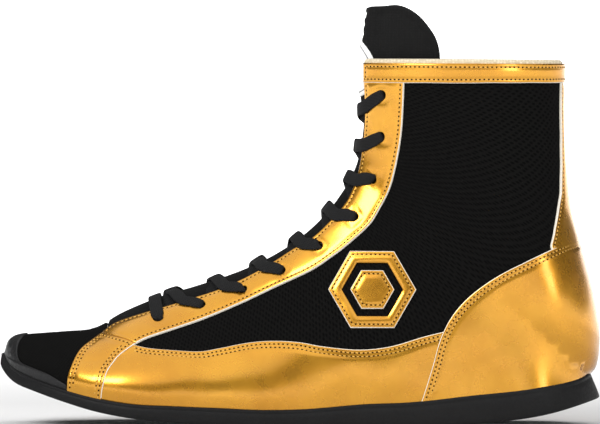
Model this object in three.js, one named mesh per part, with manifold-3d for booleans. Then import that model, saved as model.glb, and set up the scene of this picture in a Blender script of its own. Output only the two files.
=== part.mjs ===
// A laced boxing boot for the left foot: a rubber sole, a mesh upper under stitched leather overlays,
// a fabric lining, a padded tongue and one flat lace.
//
// Frame: millimetres, +Z up, the toe towards -X, the outer (lateral) side of the foot towards -Y.
// The origin is under the middle of the boot, on the flat of the sole.
//
// The upper is lofted over a last. A rung of the last is a straight line in the side view, from the feather
// edge or the back of the heel (low end) to the ridge of the foot or the front of the shin (high end).
// `station` counts rungs from the toe to the collar and `girth` runs from 0 at the low end of a rung to 1 at
// its high end. Every layer of the upper is the gap between two offsets of that one surface, cut to its
// pattern piece by a prism drawn in the side view.

import * as THREE from "three";
import { mergeVertices } from "three/addons/utils/BufferGeometryUtils.js";
import Module from "manifold-3d";

const wasm = await Module();
wasm.setup();

// ---------------------------------------------------------------- driving dimensions

const GAP = 0.3; // clearance between neighbouring pieces
const OVERLAY = [0.3, 1.5]; // leather overlays, outside the mesh, as offsets from the last
const MESH = [-1.0, 0.0]; // mesh quarters and vamp
const STIFFENER = [-2.3, -1.3]; // heel counter board, toe puff and eyelet tape
const LINING = [-3.6, -2.6];
const TOE_WRAP = [1.8, 3.3]; // rubber of the sole turned up over the toe
const BUMPER = [0.3, 1.4];

const SOLE_MARGIN = 2.0; // sole edge outside the last
const BOARD_INSET = 5.2;
const BOARD_THICKNESS = 2.0;
const SOCKLINER_INSET = 5.8;
const SOCKLINER_THICKNESS = 3.5;
const SOCKLINER_FRONT = 1.4; // first station of the sockliner

const TONGUE_TUCKED = -7.1; // outer face of the tongue under the facings
const TONGUE_BULGE = 3.4; // how far it rises between them
const TONGUE_FACE = 0.8;
const TONGUE_FOAM = 3.0;
const LABEL_RADIUS = 11.5;
const LABEL_HEIGHT = 169;

const LACE_WIDTH = 6.4;
const LACE_THICKNESS = 1.2;
const LACE_BUNCH = 1.8; // across, where it passes through a hole
const LACE_HOLE_RADIUS = 2.4;
const LACE_OVER = 3.0; // offset of the lace's middle on top of a facing
const LACE_UNDER = -5.3; // and between a facing and the tongue
const AGLET_RADIUS = 1.5;
const AGLET_LENGTH = 20;

// Half-width of the back stay, by height.
const STRAP_HALF_WIDTH = [[60, 21], [86, 20], [92, 15.5], [99, 12], [110, 9], [125, 7], [180, 5.5]];
const FAR = 160; // beyond the boot in any direction
const SLIVER = 0.03; // edges shorter than this are closed up

// ---------------------------------------------------------------- the last

// One row per rung: low end x, z; high end x, z; half-width; roundness of the low end;
// roundness of the high end.
const RUNGS = [
  [-141.5, 34.5, -141.5, 34.5, 46.0, 5.0, 2.6],
  [-139.5, 29.5, -140.0, 40.0, 46.0, 5.0, 2.6],
  [-134.5, 25.5, -135.0, 43.0, 46.0, 5.0, 2.6],
  [-125.5, 21.5, -126.0, 44.0, 46.0, 5.0, 2.6],
  [-111.0, 17.0, -113.0, 45.0, 46.0, 5.0, 2.5],
  [-96.5, 13.5, -100.0, 46.5, 46.0, 5.0, 2.3],
  [-80.0, 11.0, -86.0, 54.0, 46.0, 5.0, 1.9],
  [-60.5, 10.0, -70.0, 60.5, 45.0, 5.0, 1.7],
  [-38.5, 9.0, -51.0, 67.0, 43.0, 5.0, 1.6],
  [-17.0, 8.0, -31.5, 75.5, 40.0, 5.0, 1.6],
  [5.0, 8.5, -14.0, 85.5, 37.0, 5.0, 1.8],
  [29.0, 10.5, 0.5, 96.0, 35.2, 6.0, 2.1],
  [53.0, 11.5, 10.0, 105.5, 34.0, 7.0, 2.4],
  [80.0, 14.5, 16.0, 113.5, 33.2, 8.0, 2.6],
  [111.0, 18.0, 20.0, 120.0, 33.0, 8.0, 2.8],
  [137.5, 24.5, 22.5, 125.5, 33.0, 8.0, 2.9],
  [142.5, 40.5, 24.0, 130.5, 33.0, 7.8, 2.9],
  [140.0, 61.5, 25.0, 135.5, 33.0, 7.0, 2.8],
  [134.0, 84.0, 25.8, 141.0, 33.2, 5.4, 2.7],
  [129.0, 103.0, 26.4, 147.5, 33.6, 4.0, 2.5],
  [126.5, 125.0, 26.8, 155.5, 34.4, 3.0, 2.4],
  [125.5, 149.0, 27.0, 164.5, 35.5, 2.5, 2.2],
  [125.5, 174.0, 27.0, 174.5, 37.0, 2.5, 2.2],
  [125.5, 190.0, 27.5, 190.0, 38.0, 2.5, 2.2],
  [125.5, 206.0, 28.5, 206.0, 38.5, 2.5, 2.2],
];
const HEEL_STATION = 15; // the rung whose low end is the back of the feather edge
const TOP_STATION = RUNGS.length - 1;
const TOE_X = RUNGS[0][0];
const HEEL_X = RUNGS[HEEL_STATION][0];
const TOE_ARC = 75; // length over which the plan closes to the toe
const HEEL_ARC = 32;
const SIDE_BULGE = 0.05; // swell of the side above the feather edge
const SIDE_BULGE_END = 0.55;

// Underside of the sole below each rung of the foot, x and z.
const SOLE_BOTTOM = [
  [-144.5, 34.0],
  [-143.0, 27.5],
  [-137.0, 21.0],
  [-127.0, 17.0],
  [-111.5, 12.0],
  [-97.0, 8.0],
  [-80.0, 5.0],
  [-60.5, 3.0],
  [-38.5, 1.0],
  [-17.0, 0.0],
  [5.0, 0.0],
  [29.0, 0.0],
  [53.0, 0.0],
  [80.0, 1.5],
  [113.0, 5.5],
  [142.5, 13.0],
];
const TREAD_FLAT = [9, 12]; // stations between which the sole lies flat on the ground

const clamp = THREE.MathUtils.clamp;
const mix = THREE.MathUtils.lerp;
const smooth = THREE.MathUtils.smoothstep;

// Catmull-Rom through the rows of a table, at a fractional row.
function interpolate(table, at, column) {
  const last = table.length - 1;
  const row = clamp(Math.floor(at), 0, last - 1);
  const f = at - row;
  const value = (i) => {
    if (i < 0) return 2 * table[0][column] - table[1][column];
    if (i > last) return 2 * table[last][column] - table[last - 1][column];
    return table[i][column];
  };
  const [a, b, c, d] = [value(row - 1), value(row), value(row + 1), value(row + 2)];
  const t0 = (c - a) / 2;
  const t1 = (d - b) / 2;
  return (
    b + t0 * f + (3 * (c - b) - 2 * t0 - t1) * f * f + (2 * (b - c) + t0 + t1) * f * f * f
  );
}

// The plan of the foot leans inwards at the toe.
const spine = (x) => 5.5 * Math.pow(clamp((-75 - x) / 70, 0, 1), 1.5) - 1.2 * smooth(x, -75, 10);

const toeArc = (x) => Math.sqrt(clamp(1 - Math.pow(1 - clamp((x - TOE_X) / TOE_ARC, 0, 1), 2), 0, 1));
const heelArc = (x) => Math.sqrt(clamp(1 - Math.pow(1 - clamp((HEEL_X - x) / HEEL_ARC, 0, 1), 2), 0, 1));

// The rung at a station: its two ends in the side view, its half-width and how far its low end is closed.
function rungAt(station) {
  const [lx, lz, hx, hz, half, lowRound, highRound] = [0, 1, 2, 3, 4, 5, 6].map((k) =>
    interpolate(RUNGS, station, k),
  );
  const open = station < HEEL_STATION ? heelArc(lx) : 0;
  const swell = SIDE_BULGE * (1 - smooth(station, 10, 14));
  return { lx, lz, hx, hz, half: half * toeArc(lx), closed: 1 - open * open, lowRound, highRound, swell };
}

// A point on the last. side is -1 for lateral and 1 for medial.
function lastPoint(station, girth, side) {
  const r = rungAt(station);
  const t = Math.pow(Math.sin((Math.PI * girth) / 2), 2);
  const low = Math.sqrt(Math.max(0, 1 - r.closed * Math.pow(1 - t, r.lowRound)));
  const high = Math.sqrt(Math.max(0, 1 - Math.pow(t, r.highRound)));
  const swell = 1 + r.swell * Math.sin(Math.PI * Math.min(1, t / SIDE_BULGE_END));
  const x = mix(r.lx, r.hx, t);
  const z = mix(r.lz, r.hz, t);
  return new THREE.Vector3(x, spine(x) + side * r.half * low * high * swell, z);
}

function lastNormal(station, girth, side) {
  if (station <= 0) return new THREE.Vector3(-1, 0, 0);
  const e = 0.01;
  const s0 = Math.max(0.02, station - e);
  const g0 = clamp(girth - e, 0, 1 - e);
  const g1 = clamp(girth + e, e, 1);
  const along = lastPoint(station + e, girth, side).sub(lastPoint(s0, girth, side));
  const around = lastPoint(station, g1, side).sub(lastPoint(station, g0, side));
  const n = along.cross(around).normalize();
  const here = lastPoint(station, girth, side);
  const r = rungAt(station);
  const middle = new THREE.Vector3((r.lx + r.hx) / 2, spine(here.x), (r.lz + r.hz) / 2);
  if (n.dot(here.clone().sub(middle)) < 0) n.negate();
  if (Math.abs(here.y - spine(here.x)) < 0.05) n.setY(0).normalize();
  return n;
}

// A point at an offset outside the last.
const onLast = (station, girth, side, offset) =>
  lastPoint(station, girth, side).addScaledVector(lastNormal(station, girth, side), offset);

// The station and girth of a point given in the side view.
function locate(x, z) {
  const across = (s) => {
    const r = rungAt(s);
    return (r.hx - r.lx) * (z - r.lz) - (r.hz - r.lz) * (x - r.lx);
  };
  let a = 0.5;
  let b = TOP_STATION;
  const sign = Math.sign(across(a));
  for (let i = 0; i < 50; i++) {
    const m = (a + b) / 2;
    if (Math.sign(across(m)) === sign) a = m;
    else b = m;
  }
  const r = rungAt(a);
  const dx = r.hx - r.lx;
  const dz = r.hz - r.lz;
  const t = clamp(((x - r.lx) * dx + (z - r.lz) * dz) / (dx * dx + dz * dz), 0, 1);
  return { station: a, girth: (2 / Math.PI) * Math.asin(Math.sqrt(t)) };
}

// ---------------------------------------------------------------- solids

function geometryOf(points, faces) {
  const g = new THREE.BufferGeometry();
  g.setAttribute("position", new THREE.Float32BufferAttribute(points.flatMap((p) => [p.x, p.y, p.z]), 3));
  g.setIndex(faces);
  return g;
}

// A closed mesh as a manifold-3d solid, without the faces that collapse when points are merged.
function solid(geometry) {
  const g = geometry.clone();
  g.deleteAttribute("normal");
  g.deleteAttribute("uv");
  const merged = mergeVertices(g, 1e-4);
  const index = merged.index.array;
  const kept = [];
  for (let i = 0; i < index.length; i += 3) {
    const [a, b, c] = [index[i], index[i + 1], index[i + 2]];
    if (a !== b && b !== c && c !== a) kept.push(a, b, c);
  }
  return new wasm.Manifold(
    new wasm.Mesh({
      numProp: 3,
      vertProperties: merged.attributes.position.array,
      triVerts: new Uint32Array(kept),
    }),
  );
}

// Rings of points, one after another, joined into a closed skin with a fan over each end.
function skin(rings) {
  const n = rings[0].length;
  const points = rings.flat();
  const faces = [];
  for (let i = 0; i + 1 < rings.length; i++) {
    for (let k = 0; k < n; k++) {
      const [a, b] = [i * n + k, i * n + ((k + 1) % n)];
      faces.push(a, a + n, b, b, a + n, b + n);
    }
  }
  [rings[0], rings[rings.length - 1]].forEach((ring, end) => {
    const centre = ring.reduce((sum, p) => sum.add(p), new THREE.Vector3()).divideScalar(n);
    const c = points.push(centre) - 1;
    const first = end ? (rings.length - 1) * n : 0;
    for (let k = 0; k < n; k++) {
      const [a, b] = [first + k, first + ((k + 1) % n)];
      faces.push(...(end ? [a, c, b] : [a, b, c]));
    }
  });
  const made = solid(geometryOf(points, faces));
  if (made.volume() > 0) return made;
  for (let i = 0; i < faces.length; i += 3) [faces[i + 1], faces[i + 2]] = [faces[i + 2], faces[i + 1]];
  return solid(geometryOf(points, faces));
}

const GIRTH_STEPS = 8;
const SKIRT = 3; // how far the side walls run on below the feather edge before they are trimmed
const STATIONS = [0, 0.15, 0.6, 1.2, 2, 3, 4, 5, 6, 7, 8.3, 10, 12, 13.5, 14.1, 14.5, 14.8, 15, 15.4, 16, 17]
  .concat([18.5, 20.5, 24]);

// The whole last, grown or shrunk by an offset, as one solid. offset may depend on station and girth.
function sock(offset, stations = STATIONS) {
  const at = typeof offset === "function" ? offset : () => offset;
  const rings = stations.map((station) => {
    const r = rungAt(station);
    const down = new THREE.Vector3(r.lx - r.hx, 0, r.lz - r.hz).normalize();
    const half = (side) => {
      const wall = [];
      for (let i = 0; i <= GIRTH_STEPS; i++) {
        const girth = i / GIRTH_STEPS;
        // Both halves share their points along the ridge and the back of the heel.
        const shared = lastPoint(station, girth, 1).y - lastPoint(station, girth, -1).y < 0.1;
        wall.push(onLast(station, girth, shared ? 1 : side, at(station, girth)));
      }
      const depth = station > 0 ? (SKIRT + at(station, 0) / 2) * (1 - r.closed) : 0;
      wall.unshift(wall[0].clone().addScaledVector(down, depth));
      return wall;
    };
    return [...half(-1), ...half(1).reverse()];
  });
  return skin(rings);
}

// A closed outline in the side view, pushed through the boot from y0 to y1.
function prism(outline, y0 = -FAR, y1 = FAR) {
  const shape = new THREE.Shape(outline.map(([x, z]) => new THREE.Vector2(x, z)));
  const g = new THREE.ExtrudeGeometry(shape, { depth: y1 - y0, bevelEnabled: false });
  g.rotateX(Math.PI / 2).translate(0, y1, 0);
  return solid(g);
}

function block(x0, x1, y0, y1, z0, z1) {
  const g = new THREE.BoxGeometry(x1 - x0, y1 - y0, z1 - z0);
  return solid(g.translate((x0 + x1) / 2, (y0 + y1) / 2, (z0 + z1) / 2));
}

const shift = (line, dx, dz) => line.map(([x, z]) => [x + dx, z + dz]);

// Everything above the feather edge, raised by a clearance.
function aboveFeather(clearance) {
  const line = [[-FAR, RUNGS[1][1] + clearance]];
  for (let s = 1; s <= HEEL_STATION; s += 0.5) {
    const r = rungAt(s);
    line.push([r.lx, r.lz + clearance]);
  }
  line.push([FAR, RUNGS[HEEL_STATION][1] + clearance + 1.2], [FAR, 240], [-FAR, 240]);
  return prism(line);
}

// The layers of the upper stop just clear of the sole.
const FOOT_ROOM = aboveFeather(GAP);

// The layer between two offsets, above the feather edge.
const layer = ([inner, outer]) => sock(outer).subtract(sock(inner)).intersect(FOOT_ROOM);

const overlayLayer = layer(OVERLAY);
const meshLayer = layer(MESH);
const stiffenerLayer = layer(STIFFENER);
const liningLayer = layer(LINING);

// A piece of a layer on one side of the boot, or on both where side is 0.
function panel(source, outline, side) {
  const [y0, y1] = side < 0 ? [-FAR, -GAP / 2] : side > 0 ? [GAP / 2, FAR] : [-FAR, FAR];
  return source.intersect(prism(outline, y0, y1));
}

// ---------------------------------------------------------------- pattern lines, in the side view

const COLLAR_TOP = 174.5;
const COLLAR_BOTTOM = 165;

// Free edge of the facings beside the tongue, from the throat to the collar.
const FACING_EDGE = [
  [-95, 44.5],
  [-89.5, 48.5],
  [-82, 51.5],
  [-72.5, 54.5],
  [-56, 59.5],
  [-36.5, 66],
  [-18.5, 75],
  [-3.5, 84.5],
  [7, 91],
  [20, 104.5],
  [25, 113],
  [28, 121.5],
  [30, 132],
  [31, 141],
  [31.5, 151],
  [31, 164],
  [31, COLLAR_TOP],
];
// Rear edge of the facings, from the throat to the collar.
const EYESTAY_REAR = [
  [-79, 40],
  [-72.5, 43],
  [-48.5, 51],
  [-29, 59],
  [-12, 67],
  [5, 75],
  [15.5, 82],
  [22, 87],
  [32.5, 96.5],
  [38, 105],
  [42.5, 114],
  [45.5, 125],
  [48, 139.5],
  [49, 154],
  [49.5, 164],
];
// Top edge of the long side panel, from the facings to the heel counter.
const MUDGUARD_TOP = [
  [-79, 40],
  [-72.5, 38],
  [-60.5, 37],
  [-48.5, 36.5],
  [-39, 38],
  [-26, 40.5],
  [-14.5, 41.5],
  [-1.5, 41],
  [10.5, 39],
  [27.5, 37.5],
  [42.5, 39],
  [58, 43.5],
  [68, 46],
];
const MUDGUARD_FRONT = [
  [-94.5, 10],
  [-95, 17],
  [-94, 21],
  [-92.5, 26.5],
  [-89.5, 31],
  [-86, 35],
  [-79, 40],
];
// Edge between the toe cloth and the first overlay, from the throat down to the sole.
const TOE_SEAM = [
  [-95, 44.5],
  [-98, 42.5],
  [-104.5, 38],
  [-107.5, 34],
  [-109.5, 29.5],
  [-111, 25],
  [-111.5, 20],
  [-111.5, 10],
];
// Edge of the heel counter, from the sole up to the back of the ankle.
const COUNTER_EDGE = [
  [56, 8],
  [58.5, 16],
  [63, 30.5],
  [65, 38],
  [67.5, 45],
  [72.5, 54.5],
  [77.5, 59.5],
  [87, 68],
  [96.5, 74],
  [106.5, 79],
  [116, 83.5],
  [125.5, 87.5],
  [FAR, 97],
];
// Inner edge of the black rand round the toe.
const RAND_EDGE = [
  [-132, 60],
  [-133.5, 43.5],
  [-136, 39.5],
  [-136.5, 34.5],
  [-134.5, 30.5],
  [-128, 28],
  [-121, 25.5],
  [-112, 20.5],
];
// Upper edge of the rubber turned up over the toe.
const WRAP_EDGE = [
  [-139, 60],
  [-139, 43],
  [-141, 38],
  [-141, 32],
  [-138, 28.5],
  [-130, 24.5],
  [-119, 20.5],
  [-112, 15],
];
// Dome of the tongue above the collar, from its back edge to its front.
const TONGUE_DOME = [
  [66.5, 174.5],
  [66, 179.5],
  [64.5, 184.5],
  [62, 189],
  [55.5, 196],
  [48.5, 200.5],
  [41, 202.5],
  [15, 202.5],
];
// Side edge of the tongue inside the boot, from the collar down to its base.
const TONGUE_SIDE = [
  [-96, 44],
  [-88, 40],
  [-60, 46],
  [-30, 55],
  [0, 69],
  [25, 86],
  [48, 108],
  [60, 140],
];

// Lace holes on the lateral side, from the toe up.
const LACE_HOLES = [
  [-68.5, 51.5],
  [-48, 58],
  [-28, 65.5],
  [-9.5, 74.5],
  [8.5, 86.5],
  [25.5, 100.5],
  [34.5, 118.5],
  [38.5, 139],
  [39, 159],
];

// Where each end of the lace is tucked, behind the edge of the tongue.
const LACE_TAIL = [
  [47, 160],
  [58, 155],
  [68, 146],
  [72, 134],
  [72, 122],
];

const EMBLEM_CENTRE = [34, 66];
const EMBLEM_RADIUS = 21;
const EMBLEM_RING = 6;
const EMBLEM_HEART = 10.5;

// ---------------------------------------------------------------- sole and footbed

// Plan of the foot at a station, grown outwards by a margin: half-width and the shift along x.
function plan(station, margin) {
  const e = 0.02;
  const width = (s) => {
    const r = rungAt(s);
    return r.half * Math.sqrt(Math.max(0, 1 - r.closed));
  };
  const s0 = Math.max(0, station - e);
  const s1 = Math.min(HEEL_STATION, station + e);
  const dx = rungAt(s1).lx - rungAt(s0).lx;
  const dw = width(s1) - width(s0);
  const length = Math.hypot(dx, dw);
  return { half: width(station) + (margin * dx) / length, shift: (-margin * dw) / length };
}

const FOOT_STATIONS = [1, 1.3, 1.7, 2.3, 3, 4, 5, 6, 7, 8, 9, 10, 11, 12, 13, 13.6, 14.1, 14.5, 14.8, 15];

// A slab under the foot. Each level at a station is [share of the way down to the tread, rise, margin].
function footSlab(stations, levelsAt) {
  const rings = stations.map((station) => {
    const r = rungAt(station);
    const flat = station >= TREAD_FLAT[0] && station <= TREAD_FLAT[1];
    const bx = interpolate(SOLE_BOTTOM, station, 0);
    const bz = flat ? 0 : Math.max(0, interpolate(SOLE_BOTTOM, station, 1));
    const side = (sign) =>
      levelsAt(station).map(([share, rise, margin]) => {
        const p = plan(station, margin);
        const x = mix(r.lx, bx, share) + p.shift;
        return new THREE.Vector3(x, spine(x) + sign * Math.max(0.4, p.half), mix(r.lz, bz, share) + rise);
      });
    return [...side(-1), ...side(1).reverse()];
  });
  return skin(rings);
}

// The sole stands out from the last by as much as the rubber turned up over the toe, then draws in.
const soleMargin = (station) => mix(TOE_WRAP[1], SOLE_MARGIN, smooth(station, 3, 6));

function outsole() {
  const base = footSlab(FOOT_STATIONS, (station) => [
    [0, 0, soleMargin(station)],
    [0.75, 0, soleMargin(station)],
    [1, 0, soleMargin(station) - 1.5],
  ]);
  const [inner, outer] = TOE_WRAP;
  const wrap = sock(outer).subtract(sock(inner)).intersect(aboveFeather(-1.6));
  return base.add(wrap.intersect(prism([[-FAR, 60], ...WRAP_EDGE, [-112, 10], [-FAR, 10]])));
}

const footRange = (from, to) => [from, ...FOOT_STATIONS.filter((s) => s > from && s < to), to];

const lastingBoard = () =>
  footSlab(footRange(1.0, 14.8), () => [
    [0, BOARD_THICKNESS + GAP, -BOARD_INSET],
    [0, GAP, -BOARD_INSET],
  ]);

function sockliner() {
  const base = BOARD_THICKNESS + 2 * GAP;
  return footSlab(footRange(SOCKLINER_FRONT, 14.75), () => [
    [0, base + SOCKLINER_THICKNESS, -SOCKLINER_INSET],
    [0, base, -SOCKLINER_INSET],
  ]);
}

// ---------------------------------------------------------------- tongue

// Outer face of the tongue: tucked under the facings, and swelling out between them. Its foam thins towards
// the base, where the tongue is sewn down. below is the depth under that face, beside any share of the foam.
const foamAt = (station) => mix(0.8, TONGUE_FOAM, smooth(station, 5, 9));
const tongueOffset = (below, foamShare = 0) => (station, girth) =>
  TONGUE_TUCKED + TONGUE_BULGE * smooth(girth, 0.9, 0.98) - below - foamShare * foamAt(station);

const TONGUE_STATIONS = [3, 4, 5, 6, 7, 8.3, 10, 11.5, 13, 14.5, 16, 17.2, 18.5, 20.5, 24];
const TONGUE_OUTLINE = [...TONGUE_SIDE, ...TONGUE_DOME, [0, 160], [-96, 90]];

function tongueLayer(from, to) {
  const outer = sock(tongueOffset(...from), TONGUE_STATIONS);
  const whole = outer.subtract(sock(tongueOffset(...to), TONGUE_STATIONS));
  return whole.intersect(prism(TONGUE_OUTLINE));
}

function tongueLabel() {
  const g = new THREE.CylinderGeometry(LABEL_RADIUS, LABEL_RADIUS, 60, 24);
  g.rotateZ(Math.PI / 2).translate(10, spine(30), LABEL_HEIGHT);
  return sock(tongueOffset(-1.1)).subtract(sock(tongueOffset(-GAP))).intersect(solid(g));
}

// ---------------------------------------------------------------- lace

const holes = LACE_HOLES.map(([x, z]) => locate(x, z));

// Girth of the free edge of the facings at a station.
const facingEdge = FACING_EDGE.map(([x, z]) => locate(x, z));

function facingGirth(station) {
  const next = facingEdge.findIndex((p) => p.station >= station);
  if (next <= 0) return facingEdge[next < 0 ? facingEdge.length - 1 : 0].girth;
  const [a, b] = [facingEdge[next - 1], facingEdge[next]];
  return mix(a.girth, b.girth, (station - a.station) / (b.station - a.station));
}

function laceDrill(hole, side) {
  const g = new THREE.CylinderGeometry(LACE_HOLE_RADIUS, LACE_HOLE_RADIUS, 14, 6);
  const normal = lastNormal(hole.station, hole.girth, side);
  g.applyQuaternion(new THREE.Quaternion().setFromUnitVectors(new THREE.Vector3(0, 1, 0), normal));
  const at = onLast(hole.station, hole.girth, side, -1.5);
  return solid(g.translate(at.x, at.y, at.z));
}

function punched(piece, side) {
  return holes.reduce((left, hole) => left.subtract(laceDrill(hole, side)), piece);
}

// The lace's route, as stations along it. flat is 1 where the lace lies as a ribbon and 0 where it bunches.
function laceRoute() {
  const route = [];
  const put = (station, girth, side, offset, flat) => {
    const normal = lastNormal(station, girth, side);
    route.push({ point: onLast(station, girth, side, offset), normal, flat });
  };
  const throughHole = (hole, side) => {
    [LACE_OVER, -1.4, LACE_UNDER].forEach((offset) => put(hole.station, hole.girth, side, offset, 0));
  };
  // From under one facing to on top of the other. high lifts the strand over the one that it crosses.
  const cross = (from, to, side, high) => {
    const along = (f) => mix(from.station, to.station, f);
    const edge = (f, share) => mix(facingGirth(along(f)), 1, share);
    put(along(0.15), mix(from.girth, edge(0.15, 0), 0.5), side, LACE_UNDER, 1);
    put(along(0.27), edge(0.27, 0.1), side, LACE_UNDER, 1);
    put(along(0.4), edge(0.4, 0.55), side, high ? -3.2 : -3.6, 1);
    put(along(0.5), 1, side, high ? 1.2 : -0.9, 1);
    put(along(0.6), edge(0.6, 0.55), -side, high ? 2.8 : 1.8, 1);
    put(along(0.74), edge(0.74, 0), -side, LACE_OVER + 0.2, 1);
    put(along(0.88), mix(to.girth, edge(0.88, 0), 0.4), -side, LACE_OVER, 1);
  };
  // One half of the lace, from the middle of the first bar to its tucked end.
  const half = (startSide) => {
    route.length = 0;
    let side = startSide;
    const first = holes[0];
    const rim = facingGirth(first.station);
    put(first.station, 1, side, 1.6, 1);
    put(first.station, mix(rim, 1, 0.5), side, 2.4, 1);
    put(first.station, mix(rim, first.girth, 0.4), side, LACE_OVER, 1);
    throughHole(first, side);
    for (let i = 0; i + 1 < holes.length; i++) {
      cross(holes[i], holes[i + 1], side, startSide < 0);
      side = -side;
      throughHole(holes[i + 1], side);
    }
    LACE_TAIL.forEach(([x, z], i) => {
      const p = locate(x, z);
      put(p.station, p.girth, side, LACE_UNDER - 0.6 * Math.min(i, 2), 0.5);
    });
    return route.slice();
  };
  const lateral = half(-1);
  const medial = half(1);
  return [...lateral.reverse(), ...medial.slice(1)];
}

const route = laceRoute();

// A ribbon along the route: four sides, its width across the route and its thickness along the normal.
function lace() {
  const rings = route.map((p, i) => {
    const before = route[Math.max(0, i - 1)].point;
    const after = route[Math.min(route.length - 1, i + 1)].point;
    const along = after.clone().sub(before).normalize();
    const across = new THREE.Vector3().crossVectors(along, p.normal);
    if (across.length() < 0.3 || p.flat === 0) {
      across.crossVectors(along, new THREE.Vector3(0, 1, 0));
      if (i > 0 && route[i - 1].across && across.dot(route[i - 1].across) < 0) across.negate();
    }
    across.normalize();
    if (i > 0 && across.dot(route[i - 1].across) < 0) across.negate();
    p.across = across;
    const up = new THREE.Vector3().crossVectors(across, along).normalize();
    const w = mix(LACE_BUNCH, LACE_WIDTH, p.flat) / 2;
    const h = mix(LACE_BUNCH, LACE_THICKNESS, p.flat) / 2;
    const corners = [
      [1, 1],
      [-1, 1],
      [-1, -1],
      [1, -1],
    ];
    return corners.map(([a, b]) => p.point.clone().addScaledVector(across, a * w).addScaledVector(up, b * h));
  });
  return skin(rings);
}

function aglet(end) {
  const tip = end ? route.length - 1 : 0;
  const next = end ? tip - 1 : 1;
  const away = route[tip].point.clone().sub(route[next].point).normalize();
  const g = new THREE.CylinderGeometry(AGLET_RADIUS, AGLET_RADIUS, AGLET_LENGTH, 10);
  g.applyQuaternion(new THREE.Quaternion().setFromUnitVectors(new THREE.Vector3(0, 1, 0), away));
  const at = route[tip].point.clone().addScaledVector(away, AGLET_LENGTH / 2 + GAP);
  at.y += Math.sign(spine(at.x) - at.y) * 0.8;
  return solid(g.translate(at.x, at.y, at.z));
}

// ---------------------------------------------------------------- upper

const reversed = (line) => [...line].reverse();

const vampOutline = [[-FAR, 60], [-99, 60], ...shift(TOE_SEAM, 4, 0), [-FAR, 10]];
const quarterOutline = [
  ...shift(reversed(TOE_SEAM), 4 + GAP, 0),
  ...FACING_EDGE.slice(1),
  [FAR, COLLAR_TOP],
  [FAR, 5],
];
const liningEdge = shift(FACING_EDGE, 2.6, -1.4).slice(2, -1);
const liningSplit = shift(EYESTAY_REAR, -1, 0).slice(2);
const liningOutline = [
  ...shift(reversed(TOE_SEAM.slice(1)), 3, 0),
  [-80, 45],
  ...shift(liningSplit, GAP, -GAP),
  [48.5 + GAP, COLLAR_TOP + 1.2],
  [FAR, COLLAR_TOP + 1.2],
  [FAR, 5],
];
const facingLiningOutline = [
  [-80, 45 + GAP],
  ...liningEdge,
  [33.6, COLLAR_TOP + 1.2],
  [48.5, COLLAR_TOP + 1.2],
  ...reversed(liningSplit),
];
const vampLiningOutline = [[-FAR, 60], [-104, 60], ...shift(TOE_SEAM, -3.5, 0), [-FAR, 10]];
const toeOverlayOutline = [
  ...TOE_SEAM,
  [-95 - GAP, 8],
  ...shift(MUDGUARD_FRONT.slice(1), -GAP, GAP / 2),
  [-84, 41.6],
  [-90, 43],
];
const mudguardOutline = [
  ...MUDGUARD_FRONT,
  ...MUDGUARD_TOP.slice(1),
  ...shift(reversed(COUNTER_EDGE.slice(0, 5)), -GAP, 0),
];
const eyestayOutline = [
  [-94.5, 45.2],
  ...FACING_EDGE.slice(1, -2),
  [31, COLLAR_BOTTOM - GAP],
  [49.5, COLLAR_BOTTOM - GAP],
  ...reversed(EYESTAY_REAR.slice(0, -1)).map(([x, z]) => [x, z + GAP]),
  [-84, 42.2],
  [-90, 43.6],
];
const counterOutline = [...COUNTER_EDGE, [FAR, 5]];
const collarOutline = [[31, COLLAR_BOTTOM], [FAR, COLLAR_BOTTOM], [FAR, COLLAR_TOP], [31, COLLAR_TOP]];
const stiffenerOutline = [...shift(COUNTER_EDGE, 6, -3), [FAR, 5]];
const puffOutline = [[-FAR, 60], [-118, 60], [-116, 44], [-120, 32], [-126, 26], [-126, 10], [-FAR, 10]];
const randOutline = [[-FAR, 60], ...RAND_EDGE, [-112, 10], [-FAR, 10]];

const hexagon = (radius) =>
  Array.from({ length: 6 }, (_, i) => {
    const a = (i * Math.PI) / 3;
    return [EMBLEM_CENTRE[0] + radius * Math.cos(a), EMBLEM_CENTRE[1] + radius * Math.sin(a)];
  });

// A strip up the back seam that widens downwards to the heel counter. Its outline is drawn from behind.
function backStay() {
  const side = STRAP_HALF_WIDTH.map(([z, half]) => new THREE.Vector2(half, z));
  const mirrored = side.map(({ x, y }) => new THREE.Vector2(-x, y)).reverse();
  const g = new THREE.ExtrudeGeometry(new THREE.Shape([...side, ...mirrored]), {
    depth: FAR - 90,
    bevelEnabled: false,
  });
  g.rotateX(Math.PI / 2).rotateZ(Math.PI / 2).translate(90, 0, 0);
  const strip = solid(g).subtract(block(0, FAR, -FAR, FAR, COLLAR_BOTTOM - GAP, FAR * 2));
  return overlayLayer.intersect(strip).subtract(prism(shift([...COUNTER_EDGE, [FAR, 5]], 0, GAP)));
}

// ---------------------------------------------------------------- materials and assembly

function finish(color, roughness, metalness = 0) {
  return new THREE.MeshStandardMaterial({ color, roughness, metalness });
}

const gold = finish(0xdca53a, 0.3, 0.8);
const mesh = finish(0x151515, 0.95);
const rubber = finish(0x1d1d1e, 0.7);
const blackLeather = finish(0x262626, 0.55);
const cream = finish(0xe0d5b9, 0.9);
const board = finish(0xb79a6a, 0.8);
const foam = finish(0x9a9a9a, 0.95);
const footbed = finish(0x2c2c2c, 0.9);
const cord = finish(0x161616, 0.85);
const woven = finish(0xf2f2ee, 0.7);
const plastic = finish(0x101010, 0.35);

const boot = new THREE.Group();

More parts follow.
